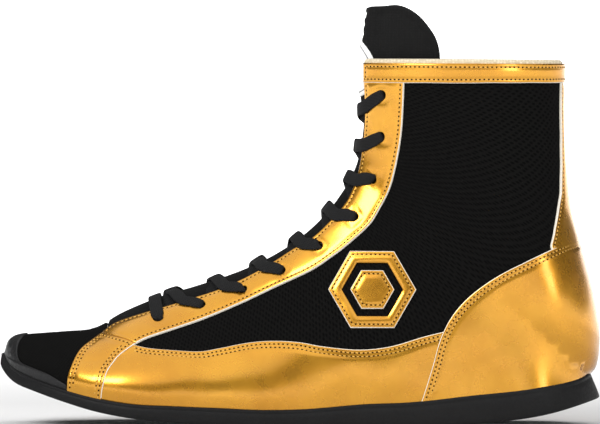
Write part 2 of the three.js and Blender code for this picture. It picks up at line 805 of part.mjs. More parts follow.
function add(name, made, material) {
  const { numProp, vertProperties, triVerts, numVert } = made.simplify(SLIVER).getMesh();
  const positions = new Float32Array(numVert * 3);
  for (let i = 0; i < numVert; i++) {
    const point = vertProperties.subarray(i * numProp, i * numProp + 3);
    positions.set(point, i * 3);
  }
  const g = new THREE.BufferGeometry();
  g.setAttribute("position", new THREE.BufferAttribute(positions, 3));
  g.setIndex(new THREE.BufferAttribute(triVerts, 1));
  g.computeVertexNormals();
  const node = new THREE.Mesh(g, material);
  node.name = name;
  boot.add(node);
}

add("outsole", outsole(), rubber);
add("lasting_board", lastingBoard(), board);
add("sockliner", sockliner(), footbed);

add("vamp", panel(meshLayer, vampOutline, 0), mesh);
add("vamp_lining", panel(liningLayer, vampLiningOutline, 0), cream);
add("toe_puff", panel(stiffenerLayer, puffOutline, 0), board);
add("toe_rand", layer(BUMPER).intersect(prism(randOutline)), blackLeather);
add("heel_counter", panel(overlayLayer, counterOutline, 0), gold);
add("heel_stiffener", panel(stiffenerLayer, stiffenerOutline, 0), board);
add("collar_band", panel(overlayLayer, collarOutline, 0), gold);
add("back_stay", backStay(), gold);

for (const [name, side] of [
  ["lateral", -1],
  ["medial", 1],
]) {
  add(`quarter_${name}`, punched(panel(meshLayer, quarterOutline, side), side), mesh);
  add(`quarter_lining_${name}`, panel(liningLayer, liningOutline, side), cream);
  add(`facing_lining_${name}`, punched(panel(liningLayer, facingLiningOutline, side), side), cream);
  add(`eyestay_${name}`, punched(panel(overlayLayer, eyestayOutline, side), side), gold);
  add(`mudguard_${name}`, panel(overlayLayer, mudguardOutline, side), gold);
  add(`toe_overlay_${name}`, panel(overlayLayer, toeOverlayOutline, side), gold);
  const ring = prism(hexagon(EMBLEM_RADIUS)).subtract(prism(hexagon(EMBLEM_RADIUS - EMBLEM_RING)));
  add(`emblem_ring_${name}`, panel(overlayLayer, hexagon(FAR), side).intersect(ring), gold);
  add(`emblem_heart_${name}`, panel(overlayLayer, hexagon(EMBLEM_HEART), side), gold);
}

const underFace = TONGUE_FACE + GAP;
add("tongue_face", tongueLayer([0], [TONGUE_FACE]), mesh);
add("tongue_foam", tongueLayer([underFace], [underFace, 1]), foam);
add("tongue_lining", tongueLayer([underFace + GAP, 1], [underFace + GAP + TONGUE_FACE, 1]), cream);
add("tongue_label", tongueLabel(), woven);

add("lace", lace(), cord);
add("aglet_lateral", aglet(0), plastic);
add("aglet_medial", aglet(1), plastic);

export default boot;
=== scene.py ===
"""A laced boxing boot for the left foot, in gold-coated leather over black mesh.

Tables and named sizes are in millimetres in the frame's axes: the toe towards -X, the outer side of the
foot towards -Y, +Z up. The upper is lofted over a last. A rung of the last is a straight line in the side
view, from its low end at the sole or the back of the heel to its high end on the ridge of the foot or the
front of the shin. `s` counts rungs from the toe to the collar. `a` runs round a rung: 0 at the low end, 1 at
the high end by way of the outer side, and back to 2 at the low end by way of the inner side. Every layer is
an offset of that surface.
"""

import math

import bmesh
import bpy
import numpy as np
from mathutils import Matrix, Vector
from mathutils.geometry import delaunay_2d_cdt


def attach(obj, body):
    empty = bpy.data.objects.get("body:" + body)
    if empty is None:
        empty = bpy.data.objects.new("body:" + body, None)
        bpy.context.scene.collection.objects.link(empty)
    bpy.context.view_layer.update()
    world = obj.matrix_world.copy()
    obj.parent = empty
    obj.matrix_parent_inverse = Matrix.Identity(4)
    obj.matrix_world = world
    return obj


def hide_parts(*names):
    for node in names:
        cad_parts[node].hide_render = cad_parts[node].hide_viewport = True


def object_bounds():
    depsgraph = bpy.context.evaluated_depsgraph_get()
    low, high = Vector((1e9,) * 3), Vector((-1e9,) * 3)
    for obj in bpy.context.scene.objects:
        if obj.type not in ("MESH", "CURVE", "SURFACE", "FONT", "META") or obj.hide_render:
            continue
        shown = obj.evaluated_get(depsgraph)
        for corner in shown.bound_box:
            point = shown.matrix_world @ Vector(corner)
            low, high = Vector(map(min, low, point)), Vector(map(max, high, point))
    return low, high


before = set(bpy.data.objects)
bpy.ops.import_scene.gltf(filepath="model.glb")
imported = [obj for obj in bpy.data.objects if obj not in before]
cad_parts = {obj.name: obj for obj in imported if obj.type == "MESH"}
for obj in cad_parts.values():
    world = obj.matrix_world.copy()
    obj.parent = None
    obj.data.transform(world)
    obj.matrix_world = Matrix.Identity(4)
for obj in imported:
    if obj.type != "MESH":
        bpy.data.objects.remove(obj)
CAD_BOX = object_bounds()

LENGTH = 289.2022  # of the whole boot, in the tables' millimetres
MM = (CAD_BOX[1][0] - CAD_BOX[0][0]) / LENGTH

# ---------------------------------------------------------------- driving dimensions

GOLD_TOP = 1.3  # offsets from the last
GOLD_BASE = -0.3
MESH_TOP = 0.0
LAYER_SPLIT = -1.2
LINING_FACE = -3.3
RAND_TOP = 0.6
RAND_TOE = 2.0  # thicker at the tip of the toe
LABEL_TOP = 0.7  # above the tongue

RAW_EDGE = 0.3  # width and height of the pale cut edge round a gold piece
SEAM = 1.65  # from a piece's edge to its first row of stitches
SEAM_PAIR = 1.7  # between the rows of a double seam
STITCH_PITCH = 2.15
GRID = 2.6  # spacing of the points inside a panel
OUTLINE_STEP = 1.5

SOLE_MARGIN = 2.0
SOLE_LIP = 0.9
TREAD_DEPTH = 0.9
TREAD_PITCH = 5.2
TREAD_BORDER = 2.5  # smooth, round the tread
TREAD_COLUMNS = 72  # across the sole
SOCKLINER_INSET = 5.6
SOCKLINER_RISE = 2.6
SOCKLINER_THICKNESS = 3.4

TONGUE_TUCKED = -7.1
TONGUE_BULGE = 3.2
THROAT_BULGE = 4.8
LABEL_BULGE = 2.7
TONGUE_DEPTH = 5.2
LABEL_RADIUS = 11.5
LABEL_HEIGHT = 169.5

LACE_WIDTH = 6.3
LACE_THICKNESS = 1.0
LACE_BUNCH = 5.2
HOLE_RADIUS = 2.3
HOLE_DIMPLE = 0.45
LACE_OVER = 1.95
LACE_UNDER = -5.3

LENS, SENSOR = 420, 36
FRAME_MARGIN = 1.001  # of the boot's length, across the picture
CAMERA_TILT = 1.3  # degrees
CAMERA_TARGET = 0.1025  # metres above the floor
FLOOR_RADIUS, WALL_HEIGHT, WALL_SIDES = 9.0, 1.2, 72  # metres

# ---------------------------------------------------------------- the last

# One row per rung: low end x, z; high end x, z; half-width; roundness of the low end and of the high end.
RUNGS = np.array(
    [
        [-141.5, 34.5, -141.5, 34.5, 46.0, 5.0, 2.6],
        [-139.5, 29.5, -140.0, 40.0, 46.0, 5.0, 2.6],
        [-134.5, 25.5, -135.0, 43.0, 46.0, 5.0, 2.6],
        [-125.5, 21.5, -126.0, 44.0, 46.0, 5.0, 2.6],
        [-111.0, 17.0, -113.0, 45.0, 46.0, 5.0, 2.5],
        [-96.5, 13.5, -100.0, 46.5, 46.0, 5.0, 2.3],
        [-80.0, 11.0, -86.0, 54.0, 46.0, 5.0, 1.9],
        [-60.5, 10.0, -70.0, 60.5, 45.0, 5.0, 1.7],
        [-38.5, 9.0, -51.0, 67.0, 43.0, 5.0, 1.6],
        [-17.0, 8.0, -31.5, 75.5, 40.0, 5.0, 1.6],
        [5.0, 8.5, -14.0, 85.5, 37.0, 5.0, 1.8],
        [29.0, 10.5, 0.5, 96.0, 35.2, 6.0, 2.1],
        [53.0, 11.5, 10.0, 105.5, 34.0, 7.0, 2.4],
        [80.0, 14.5, 16.0, 113.5, 33.2, 8.0, 2.6],
        [111.0, 18.0, 20.0, 120.0, 33.0, 8.0, 2.8],
        [137.5, 24.5, 22.5, 125.5, 33.0, 8.0, 2.9],
        [142.5, 40.5, 24.0, 130.5, 33.0, 7.8, 2.9],
        [140.0, 61.5, 25.0, 135.5, 33.0, 7.0, 2.8],
        [134.0, 84.0, 25.8, 141.0, 33.2, 5.4, 2.7],
        [129.0, 103.0, 26.4, 147.5, 33.6, 4.0, 2.5],
        [126.5, 125.0, 26.8, 155.5, 34.4, 3.0, 2.4],
        [125.5, 149.0, 27.0, 164.5, 35.5, 2.5, 2.2],
        [125.5, 174.0, 27.0, 174.5, 37.0, 2.5, 2.2],
        [125.5, 190.0, 27.5, 190.0, 38.0, 2.5, 2.2],
        [125.5, 206.0, 28.5, 206.0, 38.5, 2.5, 2.2],
    ]
)
HEEL_S = 15  # the rung whose low end is the back of the feather edge
COLLAR_S = 22
FEATHER_A = 0.0005  # just clear of the low end, so that the open bottom isn't crossed
TOE_X, HEEL_X = RUNGS[0, 0], RUNGS[HEEL_S, 0]
TOE_ARC, HEEL_ARC = 75, 32
SIDE_BULGE, SIDE_BULGE_END = 0.05, 0.55

# Underside of the sole below each rung of the foot: x, z.
SOLE_BOTTOM = np.array(
    [
        [-144.5, 34.0],
        [-143.0, 27.5],
        [-137.0, 21.0],
        [-127.0, 17.0],
        [-111.5, 12.0],
        [-97.0, 8.0],
        [-80.0, 5.0],
        [-60.5, 3.0],
        [-38.5, 1.0],
        [-17.0, 0.0],
        [5.0, 0.0],
        [29.0, 0.0],
        [53.0, 0.0],
        [80.0, 1.5],
        [113.0, 5.5],
        [142.5, 13.0],
    ]
)
TREAD_FLAT = (9, 12)


def smooth(x, low, high):
    t = np.clip((np.asarray(x, float) - low) / (high - low), 0, 1)
    return t * t * (3 - 2 * t)


def mix(a, b, t):
    return a + (b - a) * t


def interpolate(table, at):
    """Rows of a table at fractional indices, along a Catmull-Rom curve."""
    at = np.atleast_1d(np.asarray(at, float))
    padded = np.vstack([2 * table[0] - table[1], table, 2 * table[-1] - table[-2]])
    row = np.clip(np.floor(at), 0, len(table) - 2).astype(int)
    f = (at - row)[:, None]
    p0, p1, p2, p3 = (padded[row + k] for k in range(4))
    t0 = (p2 - p0) / 2
    t1 = (p3 - p1) / 2
    return p1 + t0 * f + (3 * (p2 - p1) - 2 * t0 - t1) * f**2 + (2 * (p1 - p2) + t0 + t1) * f**3


def spine(x):
    """Middle of the foot in plan: the toe leans inwards."""
    toe = np.clip((-75 - np.asarray(x, float)) / 70, 0, 1)
    return 5.5 * toe**1.5 - 1.2 * smooth(x, -75, 10)


def end_arc(distance, length):
    """Share of the full width at a distance from the end of the plan."""
    return np.sqrt(np.clip(1 - (1 - np.clip(distance / length, 0, 1)) ** 2, 0, 1))


def rungs(s):
    """Each rung's ends, half-width and roundness; `closed` is 1 where its low end is shut."""
    lx, lz, hx, hz, half, low, high = interpolate(RUNGS, s).T
    open_low = np.where(np.asarray(s) < HEEL_S, end_arc(HEEL_X - lx, HEEL_ARC), 0)
    swell = SIDE_BULGE * (1 - smooth(s, 10, 14))
    return lx, lz, hx, hz, half * end_arc(lx - TOE_X, TOE_ARC), 1 - open_low**2, low, high, swell


def last(s, a):
    """Points of the last."""
    lx, lz, hx, hz, half, closed, low, high, swell = rungs(s)
    a = np.mod(a, 2)
    side = np.where(a <= 1, -1, 1)
    t = np.sin(np.pi / 2 * np.where(a <= 1, a, 2 - a)) ** 2
    width = np.sqrt(np.clip(1 - closed * (1 - t) ** low, 0, 1)) * np.sqrt(np.clip(1 - t**high, 0, 1))
    width = width * (1 + swell * np.sin(np.pi * np.minimum(1, t / SIDE_BULGE_END)))
    x = mix(lx, hx, t)
    return np.stack([x, spine(x) + side * half * width, mix(lz, hz, t)], axis=1)


def slopes(s, a):
    """How the last moves with s and with a, without crossing the open bottom of the foot."""
    e = 0.01
    s = np.atleast_1d(np.asarray(s, float))
    a = np.atleast_1d(np.asarray(a, float)) + 0 * s
    s = s + 0 * a
    s_low = np.maximum(s - e, 0.02)
    s_high = np.maximum(s + e, 0.04)
    along = (last(s_high, a) - last(s_low, a)) / (s_high - s_low)[:, None]
    is_open = rungs(s)[5] < 0.9999
    turn = np.floor(a / 2) * 2
    low_end = np.where(is_open, turn + 1e-4, -99)
    high_end = np.where(is_open, turn + 2 - 1e-4, 99)
    a_low = np.clip(a - e, low_end, high_end)
    a_high = np.clip(a + e, low_end, high_end)
    around = (last(s, a_high) - last(s, a_low)) / (a_high - a_low)[:, None]
    return along, around


def unit(v):
    return v / np.maximum(np.linalg.norm(v, axis=-1, keepdims=True), 1e-12)


def normals(s, a):
    along, around = slopes(s, a)
    n = unit(np.cross(along, around))
    n[np.asarray(s) < 0.02] = (-1, 0, 0)
    lx, lz, hx, hz = rungs(s)[:4]
    here = last(s, a)
    middle = np.stack([(lx + hx) / 2, spine(here[:, 0]), (lz + hz) / 2], axis=1)
    n[np.sum(n * (here - middle), axis=1) < 0] *= -1
    return n


def offset(s, a, height):
    """Points at a height above the last."""
    s = np.atleast_1d(np.asarray(s, float))
    a = np.atleast_1d(np.asarray(a, float)) + 0 * s
    s = s + 0 * a
    return last(s, a) + normals(s, a) * np.reshape(height + 0 * s, (-1, 1))


def locate(points):
    """s and a, on the outer side, of points in the side view."""
    x, z = np.asarray(points, float).T

    def across(s):
        lx, lz, hx, hz = rungs(s)[:4]
        return (hx - lx) * (z - lz) - (hz - lz) * (x - lx)

    low = np.full(len(x), 0.5)
    high = np.full(len(x), float(len(RUNGS) - 1))
    sign = np.sign(across(low))
    for _ in range(40):
        middle = (low + high) / 2
        same = np.sign(across(middle)) == sign
        low = np.where(same, middle, low)
        high = np.where(same, high, middle)
    lx, lz, hx, hz = rungs(low)[:4]
    t = ((x - lx) * (hx - lx) + (z - lz) * (hz - lz)) / ((hx - lx) ** 2 + (hz - lz) ** 2)
    return low, 2 / np.pi * np.arcsin(np.sqrt(np.clip(t, 0, 1)))


# ---------------------------------------------------------------- pattern lines, in the side view

COLLAR_TOP, COLLAR_BOTTOM = 174.5, 165.0
# Free edge of the facings beside the tongue.
FACING_EDGE = [(-95, 44.5), (-89.5, 48.5), (-82, 51.5), (-72.5, 54.5), (-56, 59.5), (-36.5, 66)]
FACING_EDGE += [(-18.5, 75), (-3.5, 84.5), (7, 91), (20, 104.5), (25, 113), (28, 121.5), (30, 132)]
FACING_EDGE += [(31, 141), (31.5, 151), (31, 164), (31, COLLAR_TOP)]
EYESTAY_REAR = [(-79, 40), (-72.5, 43), (-48.5, 51), (-29, 59), (-12, 67), (5, 75), (15.5, 82), (22, 87)]
EYESTAY_REAR += [(32.5, 96.5), (38, 105), (42.5, 114), (45.5, 125), (48, 139.5), (49, 154), (49.5, 167)]
MUDGUARD_TOP = [(-79, 40), (-72.5, 38), (-60.5, 37), (-48.5, 36.5), (-39, 38), (-26, 40.5), (-14.5, 41.5)]
MUDGUARD_TOP += [(-1.5, 41), (10.5, 39), (27.5, 37.5), (42.5, 39), (58, 43.5), (68, 46)]
MUDGUARD_FRONT = [(-95, 15), (-94.5, 19), (-92.5, 26.5), (-89.5, 31), (-86, 35), (-79, 40)]
TOE_SEAM = [(-95, 44.5), (-98, 42.5), (-104.5, 38), (-107.5, 34), (-109.5, 29.5), (-111, 25), (-111.5, 18)]
COUNTER_EDGE = [(57, 12), (58.5, 16), (63, 30.5), (65, 38), (67.5, 45), (72, 53.3), (78.5, 61), (87, 68)]
COUNTER_EDGE += [(96.5, 74), (106.5, 79), (116, 83.5), (125.5, 87.5), (133.5, 90)]
RAND_EDGE = [(-132, 45), (-133.5, 43.0), (-136, 39.5), (-136.5, 34.5), (-134.5, 30.5), (-128, 28)]
RAND_EDGE += [(-121, 25.5), (-112, 20.5)]
TOE_CORNER = [(-79, 40), (-84, 41.8), (-90, 43.2), (-95, 44.5)]
TONGUE_SIDE = [(-96, 44), (-88, 40), (-60, 46), (-30, 55), (0, 69), (25, 86), (48, 108), (60, 140)]
TONGUE_SIDE += [(65, 174.5)]
TONGUE_DOME = [(65, 174.5), (64.6, 179.5), (63.2, 184.5), (60.6, 189), (54.4, 196), (47.5, 200.5)]
TONGUE_DOME += [(40.5, 202.5), (32, 202.3), (27.8, 202)]
LACE_HOLES = [(-68.5, 51.5), (-48, 58), (-28, 65.5), (-9.5, 74.5), (8.5, 86.5), (25.5, 100.5)]
LACE_HOLES += [(34.5, 118.5), (38.5, 139), (39, 159)]
LACE_TAIL = [(47, 160), (58, 155), (68, 146), (72, 134), (72, 122)]
# Half-width of the back stay at a height.
STRAP_HALF_WIDTH = [(70, 27.5), (87, 26), (95, 22), (103, 17), (112, 12), (125, 8.5), (140, 6.5)]
STRAP_HALF_WIDTH += [(180, 5.5)]
EMBLEM_CENTRE = (34, 66)
EMBLEM_RADIUS, EMBLEM_RING, EMBLEM_HEART = 21, 6.4, 10.5


def run_lengths(points):
    """Distance along a run of points, from its first to each."""
    return np.concatenate([[0], np.cumsum(np.linalg.norm(np.diff(points, axis=0), axis=1))])


def smooth_line(points, step=OUTLINE_STEP):
    """A curve through points in the side view, at an even step."""
    table = np.array(points, float)
    if len(table) == 2:
        n = max(2, int(np.linalg.norm(table[1] - table[0]) / step) + 1)
        return table[0] + (table[1] - table[0]) * np.linspace(0, 1, n)[:, None]
    fine = interpolate(table, np.linspace(0, len(table) - 1, 24 * len(table)))
    reach = run_lengths(fine)
    at = np.linspace(0, reach[-1], max(2, int(reach[-1] / step) + 1))
    return np.stack([np.interp(at, reach, fine[:, k]) for k in range(2)], axis=1)


class Edge:
    """Part of a piece's outline: s and a along it, whether its cut edge is pale, and its stitch rows."""

    def __init__(self, s, a, raw=False, rows=()):
        self.s = np.asarray(s, float)
        self.a = np.asarray(a, float)
        self.raw = raw
        self.rows = rows

    def reversed(self):
        return Edge(self.s[::-1], self.a[::-1], self.raw, self.rows)

    def mirrored(self):
        """The same edge on the inner side, in the opposite direction."""
        return Edge(self.s[::-1], 2 - self.a[::-1], self.raw, self.rows)

    def behind(self):
        """The same edge on the inner side, counted on past the back of the heel, not over the ridge."""
        return Edge(self.s[::-1], -self.a[::-1], self.raw, self.rows)


ONE_ROW = (SEAM,)
TWO_ROWS = (SEAM, SEAM + SEAM_PAIR)
PATCH_ROW = (1.7,)  # round a patch and along the collar


def drawn(points, raw=False, rows=()):
    s, a = locate(smooth_line(points))
    return Edge(s, a, raw, rows)


def feather(s0, s1):
    """Along the edge of the sole, evenly, and as far as the back of the heel where s1 is HEEL_S."""
    t = np.linspace(0, 1, 2000)
    s = s1 + (s0 - s1) * (1 - t) ** 2
    reach = run_lengths(last(s, np.full(len(s), FEATHER_A)))
    steps = max(2, int(reach[-1] / 2) + 1)
    return Edge(np.interp(np.linspace(0, reach[-1], steps), reach, s), np.full(steps, FEATHER_A))


# ---------------------------------------------------------------- panels

S_TABLE = np.linspace(0, len(RUNGS) - 1, 200)
U_TABLE = run_lengths(last(S_TABLE, np.full(200, 0.5)))
V_SCALE = 100.0


def flat(s, a):
    """s and a as nearly even lengths, to triangulate in."""
    return np.stack([np.interp(s, S_TABLE, U_TABLE), np.asarray(a) * V_SCALE], axis=1)


def unflat(uv):
    return np.interp(uv[:, 0], U_TABLE, S_TABLE), uv[:, 1] / V_SCALE


def inside(points, loop):
    """Which points lie inside a closed loop, by counting crossings."""
    x, y = points[:, 0][:, None], points[:, 1][:, None]
    x0, y0 = loop[:, 0][None], loop[:, 1][None]
    x1, y1 = np.roll(loop[:, 0], -1)[None], np.roll(loop[:, 1], -1)[None]
    crosses = (y0 > y) != (y1 > y)
    with np.errstate(divide="ignore", invalid="ignore"):
        at = x0 + (y - y0) * (x1 - x0) / (y1 - y0)
    return np.sum(crosses & (x < at), axis=1) % 2 == 1


class Loop:
    """A closed outline on the last, with the way inwards at each of its points."""

    def __init__(self, edges, hole=False):
        s, a, raw = [], [], []
        self.spans = []
        for edge in edges:
            first = len(s)
            s += list(edge.s[:-1])
            a += list(edge.a[:-1])
            raw += [edge.raw] * (len(edge.s) - 1)
            self.spans.append((first, len(s), edge.rows))
        self.s, self.a, self.raw = np.array(s), np.array(a), np.array(raw)
        uv = flat(self.s, self.a)
        nxt = np.roll(uv, -1, axis=0)
        turn = np.sign(np.sum(uv[:, 0] * nxt[:, 1] - nxt[:, 0] * uv[:, 1])) * (-1 if hole else 1)
        self.points = last(self.s, self.a)
        after = unit(np.roll(self.points, -1, axis=0) - self.points)
        before = np.roll(after, 1, axis=0)
        normal = normals(self.s, self.a)
        self.inward = turn * unit(np.cross(normal, unit(before + after)))
        corner = np.abs(np.sum(unit(np.cross(normal, after)) * self.inward, axis=1))
        self.inward = self.inward / np.clip(corner, 0.6, 1)[:, None]

    def inset(self, distance):
        """The outline moved inwards over the surface."""
        target = self.points + self.inward * distance
        s, a = self.s.copy(), self.a.copy()
        is_open = rungs(s)[5] < 0.9999
        low_end = np.where(is_open, np.floor(a / 2) * 2 + FEATHER_A, -9)
        high_end = np.where(is_open, low_end + 2 - 2 * FEATHER_A, 9)
        for _ in range(14):
            along, around = slopes(s, a)
            miss = target - last(s, a)
            gram = [np.sum(p * q, axis=1) for p, q in ((along, along), (along, around), (around, around))]
            side = [np.sum(p * miss, axis=1) for p in (along, around)]
            det = np.maximum(gram[0] * gram[2] - gram[1] ** 2, 1e-6)
            s = s + np.clip((gram[2] * side[0] - gram[1] * side[1]) / det, -0.4, 0.4)
            a = a + np.clip((gram[0] * side[1] - gram[1] * side[0]) / det, -0.06, 0.06)
            a = np.clip(a, low_end, high_end)
            s = np.clip(s, 0.02, len(RUNGS) - 1)
        return s, a


def circle(centre_s, centre_a, radius, count=18):
    """A round outline about a point of the last."""
    along, around = slopes([centre_s], [centre_a])
    across = unit(around - unit(along) * np.sum(around * unit(along), axis=1, keepdims=True))
    turn = np.linspace(0, 2 * np.pi, count + 1)
    offsets = radius * (np.cos(turn)[:, None] * unit(along) + np.sin(turn)[:, None] * across)
    mixed = np.sum(along * around)
    gram = np.array([[np.sum(along * along), mixed], [mixed, np.sum(around**2)]])
    side = np.stack([offsets @ along[0], offsets @ around[0]])
    ds, da = np.linalg.solve(gram, side)
    return Edge(centre_s + ds, centre_a + da)


def distance_to(points, loop):
    """From each point to the nearest part of a closed outline."""
    nearest = np.full(len(points), 1e9)
    for one, two in zip(loop, np.roll(loop, -1, axis=0)):
        side = two - one
        t = np.clip((points - one) @ side / max(side @ side, 1e-9), 0, 1)
        nearest = np.minimum(nearest, np.linalg.norm(points - one - t[:, None] * side, axis=1))
    return nearest


def beautified(points, faces):
    """The same points in triangles that follow the curve of the last more closely."""
    shape = bmesh.new()
    corners = [shape.verts.new(p) for p in points]
    for face in faces:
        shape.faces.new([corners[i] for i in face])
    shape.verts.index_update()
    bmesh.ops.beautify_fill(shape, faces=shape.faces[:], edges=shape.edges[:], method="ANGLE")
    found = np.array([[v.index for v in face.verts] for face in shape.faces])
    shape.free()
    return found


def spread(points, gap):
    """Marks the points to keep so that neighbours along a ring are at least a gap apart."""
    keep = np.ones(len(points), bool)
    kept = 0
    for i in range(1, len(points)):
        keep[i] = np.linalg.norm(points[i] - points[kept]) >= gap
        if keep[i]:
            kept = i
    return keep


class Sheet:
    """A triangulated piece of the last: rings of points inside its outlines, then an even grid."""

    def __init__(self, edges, rings, holes=(), grid=GRID):
        self.loops = [Loop(edges)] + [Loop([hole], hole=True) for hole in holes]
        s, a, depth, links, self.bands = [], [], [], [], []
        for k, loop in enumerate(self.loops):
            for i, distance in enumerate(rings if k == 0 else rings[:1]):
                ring_s, ring_a = loop.inset(distance)
                first, n = sum(map(len, s)), len(ring_s)
                if i == 0:
                    links += [(first + j, first + (j + 1) % n) for j in range(n)]
                    self.bands.append(np.arange(first, first + n))
                    keep = np.ones(n, bool)
                else:
                    apart = distance_to(last(ring_s, ring_a), self.loops[0].points)
                    keep = np.abs(apart - distance) < 0.12 * distance + 0.04
                    keep &= spread(last(ring_s, ring_a), 0.35 * OUTLINE_STEP)
                s.append(ring_s[keep])
                a.append(ring_a[keep])
                depth.append(np.full(keep.sum(), distance))
        s, a, depth = map(np.concatenate, (s, a, depth))
        uv = flat(s, a)
        outer = uv[self.bands[0]]
        low, high = outer.min(0), outer.max(0)
        rows = np.arange(low[1], high[1], grid * 0.87)
        places = np.arange(low[0], high[0], grid)
        even = [(u + (j % 2) * grid / 2, v) for j, v in enumerate(rows) for u in places]
        even = np.array(even).reshape(-1, 2)
        even = even[inside(even, outer)]
        for band in self.bands[1:]:
            even = even[~inside(even, uv[band])]
        if len(even):
            gap = np.min(np.linalg.norm(even[:, None] - uv[None], axis=2), axis=1)
            even = even[gap > grid * 0.6]
        if len(even):
            even_s, even_a = unflat(even)
            far = distance_to(last(even_s, even_a), self.loops[0].points)
            fit = far > rings[-1] * 0.95
            s, a = np.concatenate([s, even_s[fit]]), np.concatenate([a, even_a[fit]])
            depth = np.concatenate([depth, far[fit]])
        uv = flat(s, a)
        found = delaunay_2d_cdt([Vector(p) for p in uv], links, [], 0, 1e-5)
        out = np.array([tuple(p) for p in found[0]])
        faces = np.array(found[2])
        middle = out[faces].mean(axis=1)
        keep = inside(middle, uv[self.bands[0]])
        for band in self.bands[1:]:
            keep &= ~inside(middle, uv[band])
        kept = faces[keep]
        origin = np.array([o[0] if o else -1 for o in found[3]])
        new_s, new_a = unflat(out)
        self.s = np.where(origin >= 0, s[origin], new_s)
        self.a = np.where(origin >= 0, a[origin], new_a)
        self.depth = np.where(origin >= 0, depth[origin], rings[0])
        back = {o: i for i, group in enumerate(found[3]) for o in group}
        self.bands = [np.array([back[i] for i in band]) for band in self.bands]
        self.faces = beautified(last(self.s, self.a), kept)
        p = last(self.s, self.a)[self.faces[: max(1, len(self.faces) // 2)]]
        facing = np.cross(p[:, 1] - p[:, 0], p[:, 2] - p[:, 0])
        ahead = normals(self.s[self.faces[: len(p), 0]], self.a[self.faces[: len(p), 0]])
        if np.sum(facing * ahead) < 0:
            self.faces = self.faces[:, ::-1]


def seam_profile(depth, rows, puff=0.22, groove=0.26):
    """Height lost near an edge and along each row of stitches, and gained by the padding between."""
    height = puff * (1 - np.exp(-depth / 1.4))
    for row in rows:
        height = height - groove * np.exp(-(((depth - row) / 0.55) ** 2))
    return height


def ripples(s, a, amount):
    """Slow unevenness of leather pulled over a last."""
    x, y, z = last(s, a).T
    wave = np.sin(0.13 * x + 0.07 * z + 0.6) * np.sin(0.11 * z - 0.05 * x + 1.1)
    return amount * (wave + 0.25 * np.sin(0.24 * x - 0.19 * z + 0.1 * y))


def rim_faces(lower, upper, flip):
    n = len(lower)
    faces = [(lower[i], lower[(i + 1) % n], upper[(i + 1) % n], upper[i]) for i in range(n)]
    return [f[::-1] for f in faces] if flip else faces


def rim_turns(points, lower, upper, loop):
    """Whether the rim's faces have to be turned over to face away from the piece."""
    n = len(lower)
    votes = 0
    for i in range(0, n, max(1, n // 12)):
        one, two, three = points[lower[i]], points[lower[(i + 1) % n]], points[upper[(i + 1) % n]]
        votes += np.sign(np.dot(np.cross(two - one, three - one), -loop.inward[i]))
    return votes < 0


def placed(name, data, place=(0, 0, 0), turn=(0, 0, 0)):
    """An object in the scene, from a mesh, a camera or a light."""
    thing = bpy.data.objects.new(name, data)
    thing.location = place
    thing.rotation_euler = turn
    bpy.context.scene.collection.objects.link(thing)
    return thing


def new_piece(name, points, faces, materials, indices=None, uv=None):
    """A mesh object from points in millimetres. uv, in millimetres over the surface, carries the weaves."""
    mesh = bpy.data.meshes.new(name)
    mesh.from_pydata((np.asarray(points) * MM).tolist(), [], [list(map(int, f)) for f in faces])
    for material in materials:
        mesh.materials.append(material)
    if indices is not None:
        mesh.polygons.foreach_set("material_index", np.asarray(indices, np.int32))
    mesh.polygons.foreach_set("use_smooth", np.full(len(mesh.polygons), True))
    if uv is not None:
        corners = np.zeros(len(mesh.loops), np.int32)
        mesh.loops.foreach_get("vertex_index", corners)
        layer = mesh.uv_layers.new(name="cloth")
        layer.data.foreach_set("uv", (np.asarray(uv)[corners] * MM).astype(np.float32).ravel())
    mesh.update()
    return placed(name, mesh)


